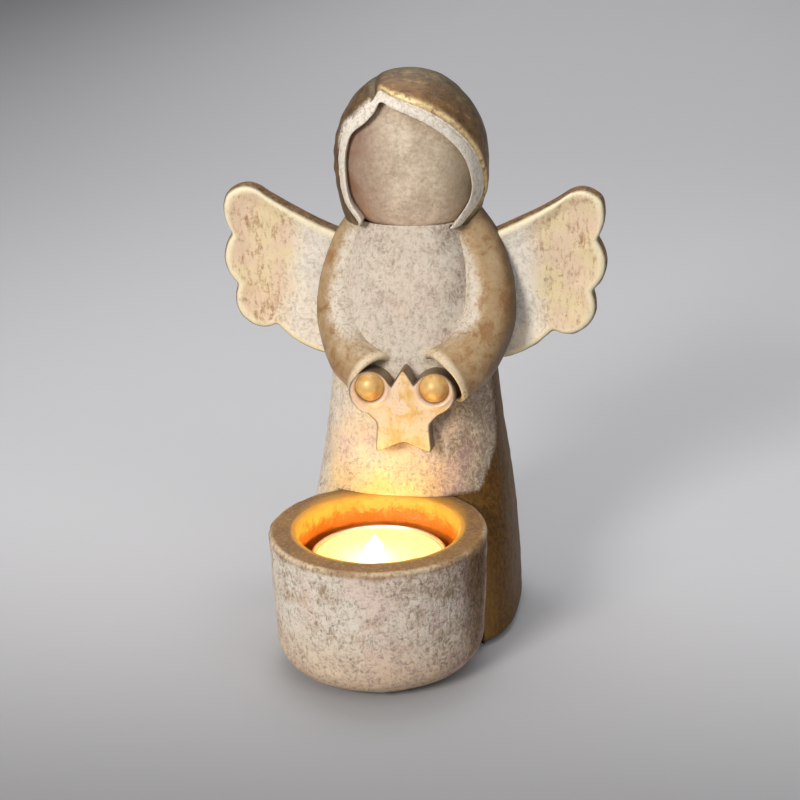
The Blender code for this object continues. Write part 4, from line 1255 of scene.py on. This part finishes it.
class ANGEL_OT_head(bpy.types.Operator):
    """Hair and plain ball face"""
    bl_idname = "angel.head"
    bl_label = "Head"
    bl_options = {"REGISTER", "UNDO"}

    def execute(self, context):
        sizes, colours = choices(context)
        grid, paint = hood_shape(sizes)
        shell("hair_shell", grid, FIGURE, hair_finish(colours),
              ("hood",), paint)
        grid = ball_shape(FACE, FACE_HALF, 90, 160, [(2.2, 0.08, 71), (8.0, 0.2, 72)])
        shell("face_ball", grid, FIGURE, face_finish(colours), ("face",))
        return {"FINISHED"}


class ANGEL_OT_arms(bpy.types.Operator):
    """Sleeves with rolled cuffs, and ball hands"""
    bl_idname = "angel.arms"
    bl_label = "Sleeves and hands"
    bl_options = {"REGISTER", "UNDO"}

    def execute(self, context):
        sizes, colours = choices(context)
        cloth, skin = sleeve_finish(colours), hand_finish(colours)
        radius = sizes.hand_radius / MM
        for side, word in ((-1, "left"), (1, "right")):
            grid, paint = sleeve_shape(sizes, side)
            shell(f"sleeve_{word}_casting", grid, FIGURE, cloth,
                  (f"sleeve_{word}",), paint)
            grid = ball_shape(HAND * np.array((side, 1, 1)), radius, 40, 72, [(3.0, 0.08, 81)])
            shell(f"hand_{word}_ball", grid, FIGURE, skin, (f"hand_{word}",))
        return {"FINISHED"}


class ANGEL_OT_star(bpy.types.Operator):
    """Star with a seat for each hand"""
    bl_idname = "angel.star"
    bl_label = "Star"
    bl_options = {"REGISTER", "UNDO"}

    def execute(self, context):
        sizes, colours = choices(context)
        grid, paint = star_shape(sizes)
        shell("star_casting", grid, FIGURE, gold_finish(colours),
              ("star",), paint)
        return {"FINISHED"}


class ANGEL_OT_wings(bpy.types.Operator):
    """Pair of scalloped wings"""
    bl_idname = "angel.wings"
    bl_label = "Wings"
    bl_options = {"REGISTER", "UNDO"}

    def execute(self, context):
        sizes, colours = choices(context)
        finish = wing_finish(colours)
        for side, word in ((-1, "left"), (1, "right")):
            grid, paint = wing_shape(sizes, side)
            shell(f"wing_{word}_casting", grid, FIGURE, finish,
                  (f"wing_{word}",), paint)
        return {"FINISHED"}


class ANGEL_OT_tealight(bpy.types.Operator):
    """Tealight: can, lit wax, wick with its foot, flame and the flame's light"""
    bl_idname = "angel.tealight"
    bl_label = "Tealight"
    bl_options = {"REGISTER", "UNDO"}

    def execute(self, context):
        sizes, colours = choices(context)
        drawn = metal_finish("drawn aluminium", ALUMINIUM, 0.26, 0.16, 0.5, 2.0, 0.5, 0.0,
                             (0.2, 0.2, 3.0))
        shell("can_shell", can_shape(), LIGHT, drawn, ("tealight_can",))
        grid, paint = wax_shape()
        shell("wax_pool", grid, LIGHT, wax_finish(sizes, colours),
              ("tealight_wax",), paint)
        shell("wick_cord", wick_shape(), LIGHT, wick_finish(), ("wick",))
        grid, paint = flame_shape(sizes)
        flame = shell("flame", grid, LIGHT, flame_finish(sizes, colours), (), paint)
        flame.visible_shadow = False
        repaint("wick_clip", metal_finish("tinned steel", TIN, 0.30, 0.25, 0.7, 3.0, 0.5))
        light = shine("candle_light", "POINT", place(np.array(CANDLE_SPOT)), sizes.flame_power,
                      colours.candle, shadow_soft_size=CANDLE_SOFT)
        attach(light, LIGHT)
        return {"FINISHED"}


class ANGEL_OT_feet(bpy.types.Operator):
    """Foam pads under the pot and the robe"""
    bl_idname = "angel.feet"
    bl_label = "Foot pads"
    bl_options = {"REGISTER", "UNDO"}

    def execute(self, context):
        foam = pad_finish()
        for number in range(1, 5):
            repaint(f"foot_pad_{number}", foam)
        return {"FINISHED"}


class ANGEL_OT_stage(bpy.types.Operator):
    """Pale floor, soft lights and the camera"""
    bl_idname = "angel.stage"
    bl_label = "Stage"
    bl_options = {"REGISTER", "UNDO"}

    def execute(self, context):
        colours = choices(context)[1]
        grid = floor_shape()
        quads, fan, _ = weave(*grid.shape[:2])
        points = np.concatenate([grid.reshape(-1, 3), [grid[0].mean(0)]])
        mesh = bpy.data.meshes.new("studio_floor")
        faces = quads[:, ::-1].tolist() + fan[:, ::-1].tolist()
        mesh.from_pydata(points.tolist(), [], faces)
        mesh.shade_smooth()
        x, y = points[:, 0], points[:, 1]
        # far: painted shade that darkens the floor in front of the figure and to its sides
        reach = np.hypot(x * 0.4, np.minimum(y - SHADE_START, 0.0) * 1.1) - 0.02
        paint_on(mesh, "far", step(*SHADE_FADE, reach) * (1.0 - step(*SHADE_END, np.hypot(x, y))))
        mesh.materials.append(stage_finish(colours))
        show("studio_floor", mesh)
        soft_light("key_light", KEY_LIGHT, colours.key)
        soft_light("fill_light", FILL_LIGHT, WHITE)
        soft_light("top_light", TOP_LIGHT, WHITE)
        shine("pool_light", "SPOT", POOL_SPOT, POOL_POWER, WHITE, POOL_AIM, spot_blend=1.0,
              spot_size=math.radians(POOL_CONE), shadow_soft_size=POOL_SOFT)
        world = bpy.data.worlds.new("studio")
        world.use_nodes = True
        backdrop = world.node_tree.nodes["Background"]
        backdrop.inputs["Color"].default_value = SKY_TONE
        backdrop.inputs["Strength"].default_value = SKY_POWER
        context.scene.world = world
        context.scene.view_settings.view_transform = "Standard"
        aim_camera()
        return {"FINISHED"}


def repaint(node, finish):
    """Give a solid that stays visible its finish."""
    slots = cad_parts[node].data.materials
    slots.clear()
    slots.append(finish)


def shine(name, kind, spot, power, tone, aim=None, **looks):
    """A light at a spot, pointed at an aim where there is one."""
    lamp = bpy.data.lights.new(name, kind)
    lamp.energy, lamp.color = power, tone
    for label, value in looks.items():
        setattr(lamp, label, value)
    light = show(name, lamp)
    light.location = spot
    if aim:
        turn = (Vector(aim) - light.location).to_track_quat("-Z", "Y")
        light.rotation_euler = turn.to_euler()
    return light


def soft_light(name, look, tone):
    """A round soft light, from its spot, width and power, aimed at the figure's middle."""
    spot, width, power = look
    shine(name, "AREA", spot, power, tone, AIM, shape="DISK", size=width)


def aim_camera():
    """A long lens a little to the angel's left and above, turned slightly."""
    turn, rise, roll = (math.radians(a) for a in (CAMERA_TURN, CAMERA_RISE, CAMERA_ROLL))
    back = Vector((math.sin(turn) * math.cos(rise), -math.cos(turn) * math.cos(rise),
                   math.sin(rise)))
    side = Vector((math.cos(turn), math.sin(turn), 0.0))
    up = back.cross(side)
    right = math.cos(roll) * side + math.sin(roll) * up
    above = -math.sin(roll) * side + math.cos(roll) * up
    data = bpy.data.cameras.new("camera")
    data.lens, data.sensor_width, data.clip_start = CAMERA_LENS, CAMERA_SENSOR, CAMERA_NEAR
    camera = show("camera", data)
    camera.matrix_world = Matrix((right, above, back)).transposed().to_4x4()
    camera.location = Vector(CAMERA_TARGET) * MM + back * CAMERA_DISTANCE
    bpy.context.scene.camera = camera


class VIEW3D_PT_angel(bpy.types.Panel):
    """Sizes, colours and the maker of each piece"""
    bl_idname = "VIEW3D_PT_angel"
    bl_label = "Angel Tealight Figurine"
    bl_space_type = "VIEW_3D"
    bl_region_type = "UI"
    bl_category = "Angel"

    def draw(self, context):
        for maker in MAKERS:
            self.layout.operator(maker.bl_idname)
        for group in (context.scene.angel_sizes, context.scene.angel_colours):
            box = self.layout.box()
            for label in group.bl_rna.properties.keys():
                if label not in ("rna_type", "name"):
                    box.prop(group, label)


MAKERS = (ANGEL_OT_robe, ANGEL_OT_pot, ANGEL_OT_head, ANGEL_OT_arms, ANGEL_OT_star,
          ANGEL_OT_wings, ANGEL_OT_tealight, ANGEL_OT_feet, ANGEL_OT_stage)
CLASSES = (AngelSizes, AngelColours, *MAKERS, VIEW3D_PT_angel)


def register():
    for made in CLASSES:
        bpy.utils.register_class(made)
    bpy.types.Scene.angel_sizes = bpy.props.PointerProperty(type=AngelSizes)
    bpy.types.Scene.angel_colours = bpy.props.PointerProperty(type=AngelColours)


def unregister():
    del bpy.types.Scene.angel_sizes
    del bpy.types.Scene.angel_colours
    for made in reversed(CLASSES):
        bpy.utils.unregister_class(made)


def main():
    """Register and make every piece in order."""
    register()
    for make in (bpy.ops.angel.robe, bpy.ops.angel.pot, bpy.ops.angel.head, bpy.ops.angel.arms,
                 bpy.ops.angel.star, bpy.ops.angel.wings, bpy.ops.angel.tealight,
                 bpy.ops.angel.feet, bpy.ops.angel.stage):
        make()


if __name__ == "__main__":
    main()
